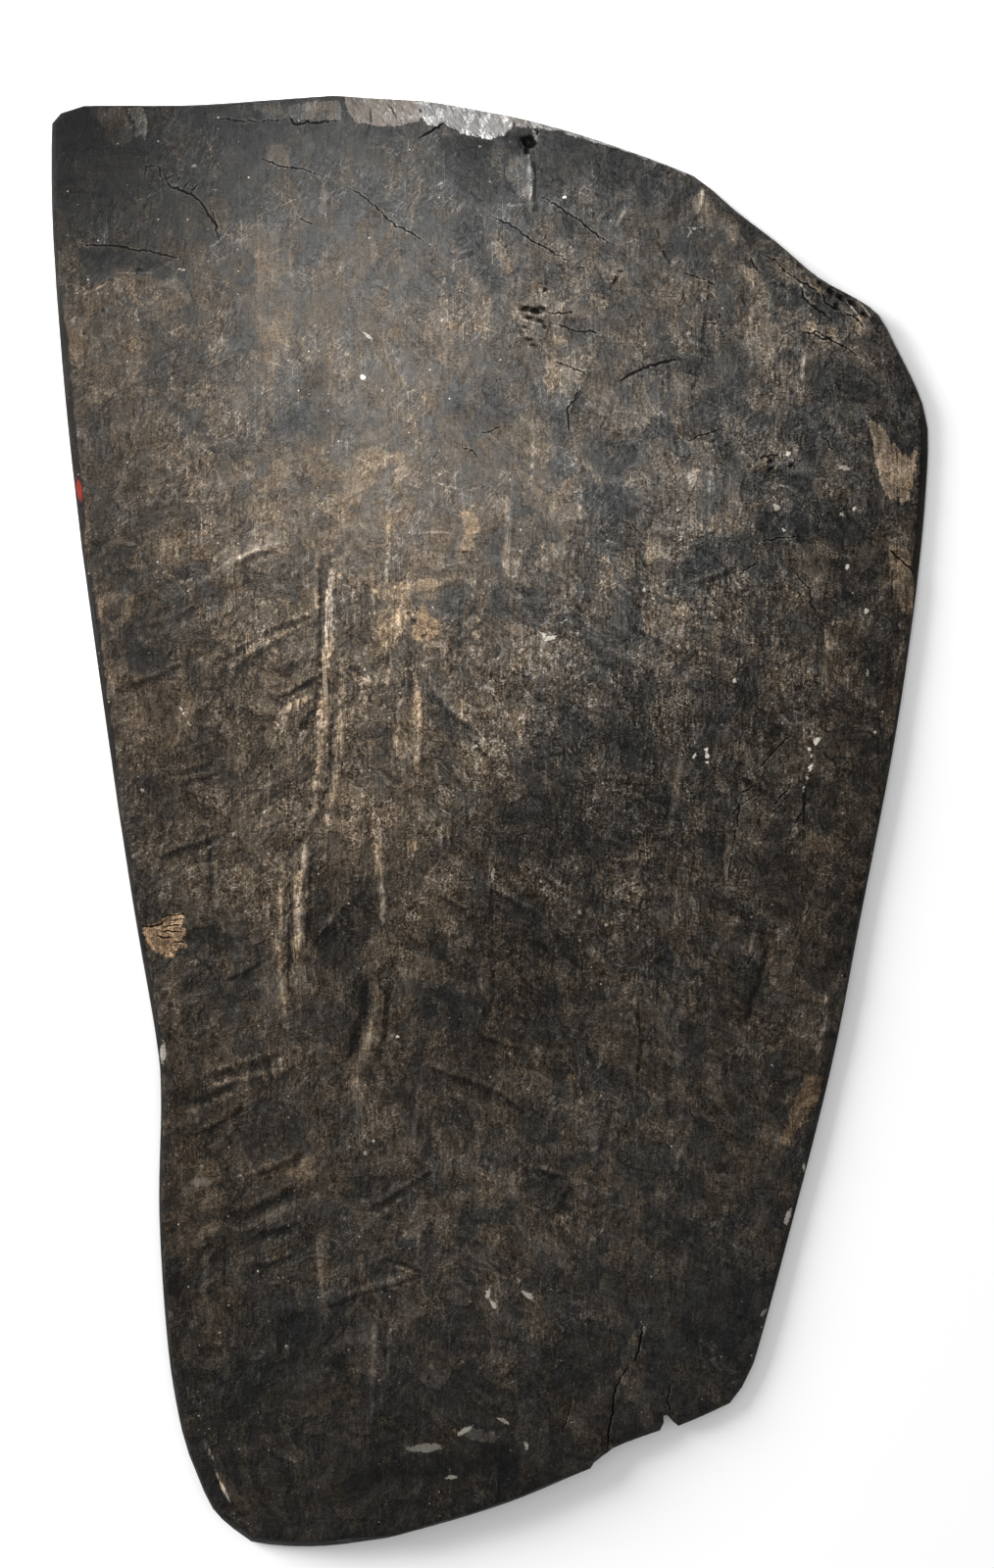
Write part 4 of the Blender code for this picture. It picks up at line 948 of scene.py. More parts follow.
def trace(points, marks, lines):
    """For the nearest mark of each point: its distance, half width and depth in mm, and the side."""
    best = np.full(len(points), TRACE_REACH)
    distance, width = np.full(len(points), FAR_MM), np.zeros(len(points))
    depth, side = np.zeros(len(points)), np.zeros(len(points))
    for mark, line in zip(marks, lines):
        low, high = line.min(0) - TRACE_REACH, line.max(0) + TRACE_REACH
        close = np.flatnonzero(((points > low) & (points < high)).all(1))
        if not len(close):
            continue
        far, beside, along = follow(points[close], line)
        nearer = far < best[close]
        chosen = close[nearer]
        taper = np.clip(TAPER * np.minimum(along, 1 - along), 0, 1)[nearer]
        best[chosen] = far[nearer]
        distance[chosen] = far[nearer] / MM
        width[chosen] = mark.wide * PIXEL / MM * taper
        side[chosen] = beside[nearer] / (mark.wide * PIXEL)
        depth[chosen] = mark.deep
    return distance, width, depth, np.clip(side, -1, 1)


def lie_in(points, areas):
    """For the area each point lies deepest in: the depth in mm, the tint and the strength."""
    depth, tint, strength = (np.full(len(points), start) for start in (-FAR_MM, 0.0, 0.0))
    for measure, area in areas:
        found = measure(points, area) / MM
        deeper = found > depth
        depth[deeper], tint[deeper], strength[deeper] = found[deeper], area.tint, area.strength
    return depth, tint, strength


crack_far, crack_width, crack_depth, _ = trace(flat, CRACKS, crack_lines)
stroke_far, stroke_width, stroke_depth, stroke_side = trace(flat, STROKES, stroke_lines)
stroke_width *= STROKE_SPREAD
streak_far, streak_width, streak_share, _ = trace(flat, STREAKS, streak_lines)
groove_far, groove_width, groove_depth, _ = trace(flat, GROOVES, groove_lines)
bare_areas = [(depth_in_island, area) for area in BARE_ISLANDS + PALE_PATCHES]
bare = lie_in(flat, bare_areas + [(depth_in_spot, area) for area in BARE_SPOTS])
smooth = lie_in(flat, [(depth_in_island, area) for area in SMOOTH_ISLANDS + DARK_PATCHES])
fleck = lie_in(flat, [(depth_in_spot, area) for area in FLECKS])
pit_depth = np.max([depth_in_spot(flat, pit) for pit in PITS], axis=0) / MM
store("crack", crack_far, crack_width)
store("stroke", stroke_far, stroke_width, stroke_side)
store("streak", streak_far, streak_width, streak_share)
store("groove", groove_far, groove_width)
store("bare", *bare)
store("smooth", *smooth)
store("fleck", *fleck)
store("pit", pit_depth)
store("ridge", 1 + scoop_height / SCOOP_DEEP, hewing)
print("attributes:", sorted(a.name for a in board.data.attributes if a.domain == "POINT"))

# %% [markdown]
# ## The broken top edge
#
# A long stretch of the top edge has split off and left a steep bevel. Its left part is tan and cracked,
# its middle is silvery and finely furrowed, and a thin pale strip runs on along the curve to the right.

# %% Breaks of the top edge
BREAKS = islands_of(
    (0.1, 1, 352, 96, 430, 98, 429, 112, 429, 122, 427, 129, 412, 131, 396, 130, 386, 133, 374, 131, 362,
    126, 354, 116), (0.95, 1, 430, 96, 470, 98, 520, 110, 518, 124, 526, 133, 514, 141, 507, 145, 496, 143,
    485, 142, 468, 138, 456, 131, 437, 130, 429, 122), (0.6, 0.9, 516, 106, 560, 112, 620, 130, 690, 160,
    706, 176, 697, 181, 679, 173, 648, 161, 619, 152, 590, 144, 568, 137, 548, 134, 526, 132, 517, 124),
)
broken = lie_in(flat, [(depth_in_island, area) for area in BREAKS])
store("broken", *broken)
print("broken:", int((broken[0] > 0).sum()), "points")

# %% [markdown]
# ## Dark bevels along the rim
#
# In many places the arris was taken off, and the narrow bevel that is left is black, partly with its own soot
# and partly with painted shade, as a slope turned aside from a frontal light would have. It is widest at the
# foot, beside the red paint on the left, and at the right shoulder. Here a line's depth is the share of the
# rim's height that the bevel takes away.

# %% Rim bevels
BEVELS = lines_of(
    (3, 0.2, 60, 118, 82, 108, 150, 108, 250, 105, 346, 100), (5, 0.3, 55, 130, 55, 240, 57, 300), (9.5,
    0.5, 57, 300, 62, 380, 69, 440, 77, 500, 85, 560), (7, 0.45, 85, 560, 98, 640, 112, 740, 124, 820), (6,
    0.4, 124, 820, 135, 900, 150, 1000, 160, 1100), (4, 0.35, 160, 1100, 163, 1250, 172, 1360, 185, 1440,
    213, 1530), (9, 0.55, 213, 1540, 235, 1562, 262, 1573, 320, 1577, 395, 1568), (4, 0.3, 395, 1568, 470,
    1550, 540, 1525, 606, 1494), (9, 0.35, 944, 410, 946, 480, 942, 540, 937, 600), (4, 0.3, 937, 600, 925,
    700, 905, 830, 880, 950, 862, 1030), (5, 0.3, 862, 1030, 845, 1110, 826, 1190, 812, 1250, 800, 1310,
    775, 1380),
)
BEVEL_REACH = 15 * MM
THIN_RIM = 0.8
BEVEL_END = 0.35
RED_TRACE = Spot(81, 500, 12, 3.5, -80, 0.0, 1.0)


def bevel_at(points):
    """The width in mm and the share of height of the bevel at each point."""
    width, share = np.full(len(points), THIN_RIM), np.zeros(len(points))
    for bevel in BEVELS:
        far, _, along = follow(points, placed(bevel.points))
        taper = np.clip(TAPER * np.minimum(along, 1 - along) + BEVEL_END, 0, 1) * (far < BEVEL_REACH)
        width = np.maximum(width, bevel.wide * PIXEL / MM * taper)
        share = np.maximum(share, bevel.deep * taper)
    return width, share


bevel_width, bevel_share = bevel_at(flat)
store("rim", from_edge / MM - bevel_width)
store("paint", depth_in_spot(flat, RED_TRACE) / MM)
print("bevel up to", round(float(bevel_width.max()), 1), "mm wide")

# %% [markdown]
# ## Cutting the relief
#
# All the marks are cut into the mesh together, straight down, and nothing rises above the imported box.
# `drop` adds up, in millimetres, how far each point goes down. A crack is a narrow V. A stroke is a
# rounded valley with a raised lip along its lower side. A groove is a round channel, and a streak is a
# low round rib.

# %% Relief of the lines
LEAST_CRACK = 0.9
CRACK_SHARE = 0.6
STREAK_RISE = 0.30
VALLEY_PLACE, VALLEY_SPREAD = -0.30, 0.42
LIP_PLACE, LIP_SPREAD, LIP_RISE = 0.55, 0.22, 0.45
LEAST_WIDTH = 0.01


def share_of(far, width):
    """The distance as a share of the mark's half width."""
    return far / np.maximum(width, LEAST_WIDTH)


crack_half = np.maximum(crack_width, LEAST_CRACK * (crack_width > 0))
drop = CRACK_SHARE * crack_depth * np.clip(1 - share_of(crack_far, crack_half), 0, 1)

stroke_share = share_of(stroke_far, stroke_width)
across = np.where(stroke_side < 0, -stroke_share, stroke_share)
valley = np.exp(-(((across - VALLEY_PLACE) / VALLEY_SPREAD) ** 2))
lip = np.exp(-(((across - LIP_PLACE) / LIP_SPREAD) ** 2))
drop += stroke_depth * (valley - LIP_RISE * lip) * (stroke_width > 0)

drop += groove_depth * np.clip(1 - share_of(groove_far, groove_width) ** 2, 0, 1)
drop -= STREAK_RISE * np.clip(1 - share_of(streak_far, streak_width) ** 2, 0, 1)
print("lines go down", round(float(drop.max()), 2), "mm")

# %% [markdown]
# Bared and smoothed areas lie a little lower than the wood round them, drops of dirt and the dome of a knot
# stand proud, and holes go deep. Each has a short slope at its border, given by the depths in millimetres
# where the slope begins and ends. The slope of a hole ends a few pixels in, or in its middle if that comes
# first. The broken edge is torn: furrows run across it, over coarse lumps.

# %% Relief of the areas
FLAKE_DROP, FLAKE_SLOPE = 0.45, (-0.5, 1.2)
SMOOTH_DROP, SMOOTH_SLOPE = 0.30, (-0.5, 1.5)
FLECK_RISE, FLECK_SLOPE = 0.25, (-0.4, 0.6)
PIT_START, PIT_PIXELS = -0.3, 3.0
FURROW_DEPTH, FURROW_SIZE, FURROW_LEAN = 0.30, 1.6 * MM, math.radians(-62)
FURROW_BEND, BEND_SIZE = 2, 12 * MM
TORN_DEPTH, TORN_SIZE, TORN_SLOPE = 1.1, 6 * MM, (-0.5, 1.0)
ROUGH_DEPTH, ROUGH_SIZE = 0.35, 9 * MM
ROUGH_LEVEL, BEND_LEVEL, TORN_LEVEL = 10.0, 30.0, 50.0


def rough(size, level):
    """Noise from -1 to 1 with lumps of about that size, from one level of a cloud."""
    return np.array([noise.noise((x / size, y / size, level)) for x, y in flat])


drop += FLAKE_DROP * eased_share(bare[0], *FLAKE_SLOPE) * bare[2]
drop += SMOOTH_DROP * eased_share(smooth[0], *SMOOTH_SLOPE) * smooth[2]
drop -= FLECK_RISE * eased_share(fleck[0], *FLECK_SLOPE)
for pit in PITS:
    pit_end = min(pit.short, PIT_PIXELS) * PIXEL / MM
    drop += pit.deep * eased_share(depth_in_spot(flat, pit) / MM, PIT_START, pit_end)
over_furrows = flat[:, 1] * math.cos(FURROW_LEAN) - flat[:, 0] * math.sin(FURROW_LEAN)
furrow = np.sin(over_furrows / FURROW_SIZE + FURROW_BEND * rough(BEND_SIZE, BEND_LEVEL))
torn = FURROW_DEPTH * (0.5 + 0.5 * furrow) + TORN_DEPTH * (0.5 + 0.5 * rough(TORN_SIZE, TORN_LEVEL))
drop += torn * eased_share(broken[0], *TORN_SLOPE)
drop += ROUGH_DEPTH * (0.5 + 0.5 * rough(ROUGH_SIZE, ROUGH_LEVEL))
print("areas go down", round(float(drop.max()), 2), "mm")

# %% [markdown]
# The drop fades towards the edge, so that the outline stays as it was packed.

# %% Cut the relief
EDGE_FADE = 10.0
EDGE_SHARE = 0.25
ARRIS_WIDTH = 0.2 * MM

drop *= np.clip(from_edge / MM / EDGE_FADE + EDGE_SHARE, 0, 1)
top = places[:, 2].copy()
face_points = on_face & (from_edge > ARRIS_WIDTH)
top[face_points] += scoop_height[face_points] * np.clip(from_edge[face_points] / (EDGE_FADE * MM), 0, 1)
top[face_points] -= drop[face_points] * MM
back_points = on_back & (from_edge > EASED_FROM)
top[back_points] -= back_height[back_points]
across_bevel = np.clip(1 - from_edge / MM / bevel_width, 0, 1)
top[~back_points] *= (1 - bevel_share * across_bevel)[~back_points]
places[:, 2] = np.minimum(top, board_high.z)
board.data.vertices.foreach_set("co", places.astype(np.float32).ravel())
board.data.update()
print("relief down to", round(float(drop[face_points].max()), 2), "mm")

# %% [markdown]
# ## Broad zones of wear
#
# Nobody handles a shield evenly. The upper middle is paler, cooler and calmer, partly rubbed pale and partly
# a painted sheen where the lamp's highlight falls. The left edge shows warm brown, a patch right of the
# middle has kept its black, and the board is darker towards the foot. Each zone is one soft ellipse that adds
# to three things: how lively the texture is, how warm the wood is, and how light.

# %% Zones
Wash = namedtuple("Wash", "u v across down texture warmth light")
# The wash at 360, 330 makes the upper middle paler, cooler and calmer; part of that is a painted sheen where
# the lamp's highlight falls.
WASHES = [Wash(*row) for row in (
    (400, 760, 130, 260, 0.3, 0.33, 0.09), (600, 790, 130, 170, 0.85, 0.05, -0.03), (220, 740, 120, 260,
    0.3, 0.28, 0.02), (760, 640, 170, 260, 0.5, 0.05, 0.02), (360, 330, 200, 260, -0.4, -0.06, 0.09), (110,
    470, 90, 260, 0, 0.18, 0), (195, 1190, 70, 170, 0.1, 0.22, -0.03), (320, 150, 440, 80, -0.28, -0.4,
    -0.03), (90, 170, 150, 110, -0.1, -0.1, -0.16), (70, 125, 120, 50, 0, 0, -0.14), (560, 690, 120, 100, 0,
    0, 0.05), (230, 620, 70, 40, 0, 0, 0.08), (470, 1100, 70, 60, 0, 0, -0.1), (250, 1030, 70, 50, 0, 0,
    0.08), (720, 420, 130, 110, -0.2, -0.14, -0.01), (720, 290, 120, 70, -0.15, 0, 0.06), (240, 290, 200,
    110, -0.15, 0, 0), (330, 740, 50, 80, 0, -0.08, -0.06), (650, 970, 50, 70, 0, 0, 0.05), (552, 980, 45,
    80, 0, 0, -0.06), (300, 1140, 150, 110, 0, 0.1, 0.035), (240, 540, 70, 50, 0, -0.12, 0), (720, 610, 70,
    60, 0, 0, 0.03), (160, 860, 50, 70, 0, -0.12, 0.03), (660, 490, 110, 90, -0.12, -0.16, -0.01), (550,
    215, 90, 50, 0, -0.22, 0), (225, 300, 80, 50, 0, 0, -0.03), (330, 690, 60, 60, 0, -0.08, -0.02), (880,
    720, 40, 80, 0, 0, 0.04), (160, 940, 50, 40, 0, -0.1, -0.1), (620, 620, 200, 130, 0, 0, 0.04), (380,
    830, 170, 70, 0, 0, 0.05), (890, 560, 40, 110, 0, 0, 0.05), (400, 1520, 380, 110, -0.2, -0.05, -0.16),
    (140, 1360, 130, 200, 0, 0, -0.12), (750, 1370, 120, 160, -0.2, -0.2, -0.06), (890, 800, 60, 300, 0.2,
    0.1, -0.06), (520, 320, 120, 120, 0.1, 0, 0), (520, 950, 90, 130, 0.2, 0.05, -0.08), (160, 780, 50, 140,
    0, 0.05, -0.06), (480, 530, 200, 120, -0.4, 0, 0.03), (720, 500, 180, 200, 0.15, 0, 0.08), (850, 380,
    90, 130, 0.2, -0.05, 0.1), (320, 940, 280, 170, 0, 0.1, 0.05), (500, 1200, 230, 190, 0, 0.05, 0.06),
    (820, 950, 130, 330, 0, 0.15, 0.03), (720, 210, 90, 60, 0, 0, 0.06),
)]
BASE_TEXTURE = 1.0
BASE_WARMTH = 0.46
BASE_LIGHT = 0.408

texture, warmth, light = (np.full(len(flat), start) for start in (BASE_TEXTURE, BASE_WARMTH, BASE_LIGHT))
for wash in WASHES:
    x, y = at(wash.u, wash.v)
    spread = ((flat[:, 0] - x) / (wash.across * PIXEL)) ** 2 + ((flat[:, 1] - y) / (wash.down * PIXEL)) ** 2
    share = np.exp(-spread)
    texture += wash.texture * share
    warmth += wash.warmth * share
    light += wash.light * share
store("zone", texture, warmth, light)
print("tone", round(light.min(), 2), "to", round(light.max(), 2))

# %% [markdown]
# ## Shader groups
#
# The face, the side wall and the back are one plank, so they share their grain and the way the black
# wears. Each such effect is a node group with named sockets, made once. A group reads the place on the
# board in millimetres and puts out plain values, and the material decides what they mean. A small bench
# does the wiring: each of its methods adds one node or a short row of them.

# %% A bench for wiring nodes


class Bench:
    """Adds nodes to one tree and joins each to what it is given, a socket or a plain value."""

    def __init__(self, tree):
        self.tree = tree

    def feed(self, socket, value):
        if isinstance(value, bpy.types.NodeSocket):
            self.tree.links.new(value, socket)
        else:
            socket.default_value = value

    def add(self, kind, feeds, **settings):
        node = self.tree.nodes.new(kind)
        for name, value in settings.items():
            setattr(node, name, value)
        for place, value in feeds.items():
            self.feed(node.inputs[place], value)
        return node

    def calc(self, operation, *values, clamp=False):
        node = self.add("ShaderNodeMath", dict(enumerate(values)), operation=operation, use_clamp=clamp)
        return node.outputs[0]

    def product(self, first, *others):
        for other in others:
            first = self.calc("MULTIPLY", first, other)
        return first

    def highest(self, first, *others):
        for other in others:
            first = self.calc("MAXIMUM", first, other)
        return first

    def clamped(self, value):
        """The value kept within 0..1."""
        return self.calc("ADD", value, 0.0, clamp=True)

    def total(self, start, *terms):
        """The start plus each (share, value) term."""
        for share, value in terms:
            start = self.calc("MULTIPLY_ADD", value, share, start)
        return start

    def sway(self, *terms, start=0.0):
        """The start plus each (reach, value) term, with the value moved from 0..1 to -reach..reach."""
        lowest = start - sum(reach for reach, _ in terms)
        return self.total(lowest, *((2 * reach, value) for reach, value in terms))

    def fit(self, value, low, high, start=0.0, end=1.0):
        """The value between low and high as a smooth climb from start to end."""
        feeds = {"Value": value, "From Min": low, "From Max": high, "To Min": start, "To Max": end}
        return self.add("ShaderNodeMapRange", feeds, interpolation_type="SMOOTHSTEP").outputs[0]

    def move(self, operation, first, second):
        return self.add("ShaderNodeVectorMath", {0: first, 1: second}, operation=operation).outputs[0]

    def scale(self, place, factor):
        return self.add("ShaderNodeVectorMath", {0: place, 3: factor}, operation="SCALE").outputs[0]

    def join(self, x, y, z):
        return self.add("ShaderNodeCombineXYZ", {0: x, 1: y, 2: z}).outputs[0]

    def split(self, place):
        return self.add("ShaderNodeSeparateXYZ", {0: place}).outputs

    def turn(self, place, angle):
        feeds = {"Vector": place, "Angle": angle}
        return self.add("ShaderNodeVectorRotate", feeds, rotation_type="Z_AXIS").outputs[0]

    def stretch(self, place, size):
        """The place measured in steps of the given size, one size for each axis."""
        return self.move("MULTIPLY", place, tuple(1 / s for s in size))

    def cloud(self, place, size, detail=2.0, rough=0.5, warp=0.0, low=0.3, high=0.7):
        """Noise from 0 to 1, with lumps of the given size in mm."""
        feeds = {"Vector": self.stretch(place, size), "Scale": 1.0, "Detail": detail, "Roughness": rough,
                 "Distortion": warp}
        fac = self.add("ShaderNodeTexNoise", feeds).outputs["Fac"]
        feeds = {"Value": fac, "From Min": low, "From Max": high}
        return self.add("ShaderNodeMapRange", feeds).outputs[0]

    def blend(self, share, first, second):
        """The first colour, or the second where the share is 1."""
        node = self.add("ShaderNodeMix", {0: share, 6: first, 7: second}, data_type="RGBA", blend_type="MIX")
        return node.outputs[2]

    def attribute(self, name):
        """The three values of one of the board's attributes."""
        return self.split(self.add("ShaderNodeAttribute", {}, attribute_name=name).outputs["Vector"])

    def report(self, title):
        """Prints how many nodes the tree has so far."""
        print(title + ":", len(self.tree.nodes), "nodes")


def new_group(name, inputs, outputs):
    """A shader group with its sockets, its bench, its inputs, and its outputs to feed."""
    tree = bpy.data.node_groups.new(name, "ShaderNodeTree")
    for title, kind, start in inputs:
        socket = tree.interface.new_socket(name=title, in_out="INPUT", socket_type=kind)
        if start is not None:
            socket.default_value = start
    for title in outputs:
        tree.interface.new_socket(name=title, in_out="OUTPUT", socket_type="NodeSocketFloat")
    bench = Bench(tree)
    return tree, bench, bench.add("NodeGroupInput", {}).outputs, bench.add("NodeGroupOutput", {}).inputs


def use(bench, group, feeds):
    """Places a group in a tree and returns its outputs."""
    return bench.add("ShaderNodeGroup", feeds, node_tree=group).outputs


NUMBER, VECTOR = "NodeSocketFloat", "NodeSocketVector"
print("bench ready")

# %% [markdown]
# ### Grain
#
# The fibres run along the board and waver a little. Long fibres, short dashes and an even grit are
# three noises of one place, stretched by different amounts along the board.

# %% Grain group
WAVER = 4.5

grain_group, bench, given, made = new_group(
    "wood_grain",
    [("Place", VECTOR, None), ("Fibre Width", NUMBER, 1.7), ("Fibre Length", NUMBER, 38.0)],
    ["Fibre", "Dash", "Grit"],
)
waver = bench.sway((WAVER, bench.cloud(given["Place"], (70, 150, 90))))
wavy = bench.move("ADD", given["Place"], bench.join(waver, 0.0, 0.0))
fibre_size = bench.join(given["Fibre Width"], given["Fibre Length"], given["Fibre Width"])
long_place = bench.move("DIVIDE", wavy, fibre_size)
bench.feed(made["Fibre"], bench.cloud(long_place, (1, 1, 1), 3.0, 0.60))
bench.feed(made["Dash"], bench.cloud(long_place, (1.4, 0.17, 1.4), 2.0, 0.55, 0.4))
bench.feed(made["Grit"], bench.cloud(wavy, (1.90, 1.55, 1.90), 2.0, 0.60))
bench.report("grain")

# %% [markdown]
# ### Mottle
#
# The black lies in patches. Broad clouds are as wide as a hand, and blots are as wide as a thumb. The
# patches also follow the scoops, so one noise is folded along the middle line and stretched along the
# climb of the cuts. Bands run with the grain. Flakes and chips are patches with a crisp border, a nick
# is a short cut along the climb, and the brink is the dark line round a flake.

# %% Mottle group: the places that its noises read
FOLD_CLIMB = 0.42
WANDER = 60.0
LUMP = (75, 75, 75)

mottle_group, bench, given, made = new_group(
    "patchy_black",
    [("Place", VECTOR, None), ("Patch", NUMBER, 34.0)],
    ["Broad", "Hewn", "Blot", "Band", "Flake", "Chip", "Nick", "Brink"],
)
lumps = bench.add("ShaderNodeTexNoise", {"Vector": bench.stretch(given["Place"], LUMP), "Scale": 1.0})
away = bench.scale(bench.move("SUBTRACT", lumps.outputs["Color"], (0.5, 0.5, 0.5)), WANDER)
wandered = bench.move("ADD", given["Place"], away)
x, y, z = bench.split(wandered)
beside = bench.calc("SUBTRACT", x, MIDDLE_LINE / MM)
folded = bench.total(y, (FOLD_CLIMB, bench.calc("ABSOLUTE", beside)))
chevron = bench.join(beside, folded, z)
patch_place = bench.move("DIVIDE", wandered, given["Patch"])
calm = bench.cloud(given["Place"], (90, 120, 90))
lively = bench.calc("SUBTRACT", 1.0, calm)
bench.report("mottle places")

# %% Mottle group: the noises
FLAKE_FROM, FLAKE_TO = 0.49, 0.52
BRINK_AT, BRINK_HALF = 0.485, 0.022
CHIP_FROM, CHIP_TO = 0.57, 0.62
LEAST_SWING = 0.3


def faded(bench, value, share):
    """The value drawn towards one half where the share is low."""
    return bench.total(0.5, (bench.calc("ADD", share, LEAST_SWING), bench.calc("SUBTRACT", value, 0.5)))


hewn = bench.cloud(chevron, (30, 8, 30), 3.0, 0.60, 0.8)
band = bench.cloud(patch_place, (0.17, 2.2, 0.30), 3.0, 0.55, 0.2)
plate = bench.cloud(patch_place, (0.80, 1.20, 0.8), 4.0, 0.50, 0.8)
shard = bench.cloud(patch_place, (0.24, 0.36, 0.24), 3.0, 0.52, 0.8)
brink = bench.fit(bench.calc("ABSOLUTE", bench.calc("SUBTRACT", plate, BRINK_AT)), BRINK_HALF, 0.0)
bench.feed(made["Broad"], bench.cloud(patch_place, (1.3, 1.9, 1.3), 3.0, 0.50, 0.4))
bench.feed(made["Hewn"], faded(bench, hewn, calm))
bench.feed(made["Blot"], bench.cloud(patch_place, (0.34, 0.44, 0.34), 3.0, 0.52, 0.8))
bench.feed(made["Band"], faded(bench, band, lively))
bench.feed(made["Flake"], bench.fit(plate, FLAKE_FROM, FLAKE_TO))
bench.feed(made["Chip"], bench.fit(shard, CHIP_FROM, CHIP_TO))
bench.feed(made["Nick"], bench.cloud(chevron, (7, 1.5, 6), 2.0, 0.6, 0.8))
bench.feed(made["Brink"], brink)
bench.report("mottle")

# %% [markdown]
# ### Craze
#
# The dry black has split into a fine, broken net. Each split is the level line of a cloud: dark where the
# cloud is near one half, with a paler lip at a slightly higher level, where the edge catches the light.

# %% Craze group
SPLIT_LEVEL, LIP_LEVEL = 0.50, 0.58
SPLIT_HALF = 0.075

craze_group, bench, given, made = new_group("fine_craze", [("Place", VECTOR, None)], ["Split", "Lip"])
net = bench.cloud(given["Place"], (15, 11, 15), 3.0, 0.55, 1.2)
there = bench.fit(bench.cloud(given["Place"], (24, 30, 24), 2.0, 0.6), 0.38, 0.58)
for title, level in (("Split", SPLIT_LEVEL), ("Lip", LIP_LEVEL)):
    level_line = bench.fit(bench.calc("ABSOLUTE", bench.calc("SUBTRACT", net, level)), SPLIT_HALF, 0.0)
    bench.feed(made[title], bench.product(level_line, there))
bench.report("craze")

# %% [markdown]
# ### Scratches and dust
#
# A fine scratch is the sharp crest of a noise that is stretched very long in one direction. A second,
# rounder noise breaks them up into flurries. Dust is a few cells out of many, each with one small grain.

# %% Scratch group
CREST_RISE = 0.05

scratch_group, bench, given, made = new_group(
    "fine_scratches",
    [("Place", VECTOR, None), ("Turn", NUMBER, 0.4), ("Length", NUMBER, 30.0), ("Width", NUMBER, 0.9),
     ("Rarity", NUMBER, 0.66)],
    ["Mask"],
)
scratch_size = bench.join(given["Length"], given["Width"], given["Length"])
scratch_place = bench.move("DIVIDE", bench.turn(given["Place"], given["Turn"]), scratch_size)
crest = bench.add("ShaderNodeTexNoise", {"Vector": scratch_place, "Scale": 1.0, "Detail": 1.0})
sharp = bench.fit(bench.calc("SUBTRACT", crest.outputs["Fac"], given["Rarity"]), 0.0, CREST_RISE)
flurry = bench.fit(bench.cloud(given["Place"], (45, 45, 45)), 0.40, 0.75)
bench.feed(made["Mask"], bench.product(sharp, flurry))
bench.report("scratches")

# %% Dust group
LEAST_GRAIN = 0.3

dust_group, bench, given, made = new_group(
    "dust_grains",
    [("Place", VECTOR, None), ("Spacing", NUMBER, 9.0), ("Size", NUMBER, 0.075), ("Share", NUMBER, 0.35)],
    ["Mask"],
)
dust_place = bench.move("DIVIDE", given["Place"], given["Spacing"])
cells = bench.add("ShaderNodeTexVoronoi", {"Vector": dust_place, "Scale": 1.0}, voronoi_dimensions="2D")
chosen_by, sized_by, _ = bench.split(cells.outputs["Color"])
grain_size = bench.product(given["Size"], bench.calc("ADD", sized_by, LEAST_GRAIN))
in_grain = bench.calc("LESS_THAN", cells.outputs["Distance"], grain_size)
bench.feed(made["Mask"], bench.product(in_grain, bench.calc("LESS_THAN", chosen_by, given["Share"])))
bench.report("dust")

# %% [markdown]
# ### Lines and areas
#
# These two groups draw the marks that the attributes hold. The line group turns a distance and a half
# width into a soft-edged line, after a little noise has made the distance ragged. The area group does
# the same with the depth inside an area.

# %% Line and area groups
THINNEST = 0.02
FULL_LINE = 0.3

line_group, bench, given, made = new_group(
    "drawn_line",
    [("Distance", NUMBER, 40.0), ("Half Width", NUMBER, 0.0), ("Ragged", NUMBER, 0.0),
     ("Softness", NUMBER, 0.5)],
    ["Line"],
)
moved = bench.calc("ABSOLUTE", bench.calc("ADD", given["Distance"], given["Ragged"]))
share = bench.calc("DIVIDE", moved, bench.highest(given["Half Width"], THINNEST))
line = bench.fit(share, bench.calc("SUBTRACT", 1.0, given["Softness"]), 1.0, 1.0, 0.0)
bench.feed(made["Line"], bench.product(line, bench.fit(given["Half Width"], THINNEST, FULL_LINE)))
bench.report("line")

area_group, bench, given, made = new_group(
    "drawn_area",
    [("Depth", NUMBER, -40.0), ("Ragged", NUMBER, 0.0), ("Softness", NUMBER, 0.8)],
    ["Inside"],
)
moved = bench.calc("ADD", given["Depth"], given["Ragged"])
outer = bench.product(given["Softness"], -1.0)
bench.feed(made["Inside"], bench.fit(moved, outer, given["Softness"]))
bench.report("area")


def draw_line(bench, far, half, ragged, softness):
    """The mask of a line, from its distance and half width in mm."""
    feeds = {"Distance": far, "Half Width": half, "Ragged": ragged, "Softness": softness}
    return use(bench, line_group, feeds)["Line"]


def draw_area(bench, depth, ragged, softness):
    """The mask of an area, from the depth inside it in mm."""
    return use(bench, area_group, {"Depth": depth, "Ragged": ragged, "Softness": softness})["Inside"]


def scratched(bench, place, turn, length, width, rarity):
    """The mask of fine scratches that run at one angle."""
    feeds = {"Place": place, "Turn": turn, "Length": length, "Width": width, "Rarity": rarity}
    return use(bench, scratch_group, feeds)["Mask"]


# %% [markdown]
# ## The worn face
#
# The face is one long scale of tones, from soot black to bare, dry wood. Every layer moves a point up or
# down that scale: the zone, the patches, the ridges between scoops, the fibres and the grit, and after
# them each kind of mark. Equal steps on the scale look equal to the eye, because each multiplies the
# colour by the same factor. A separate mask says how warm the wood is. In the cells below, the number
# before each value is the length of its step on the scale, or how far it moves a ragged edge in mm.

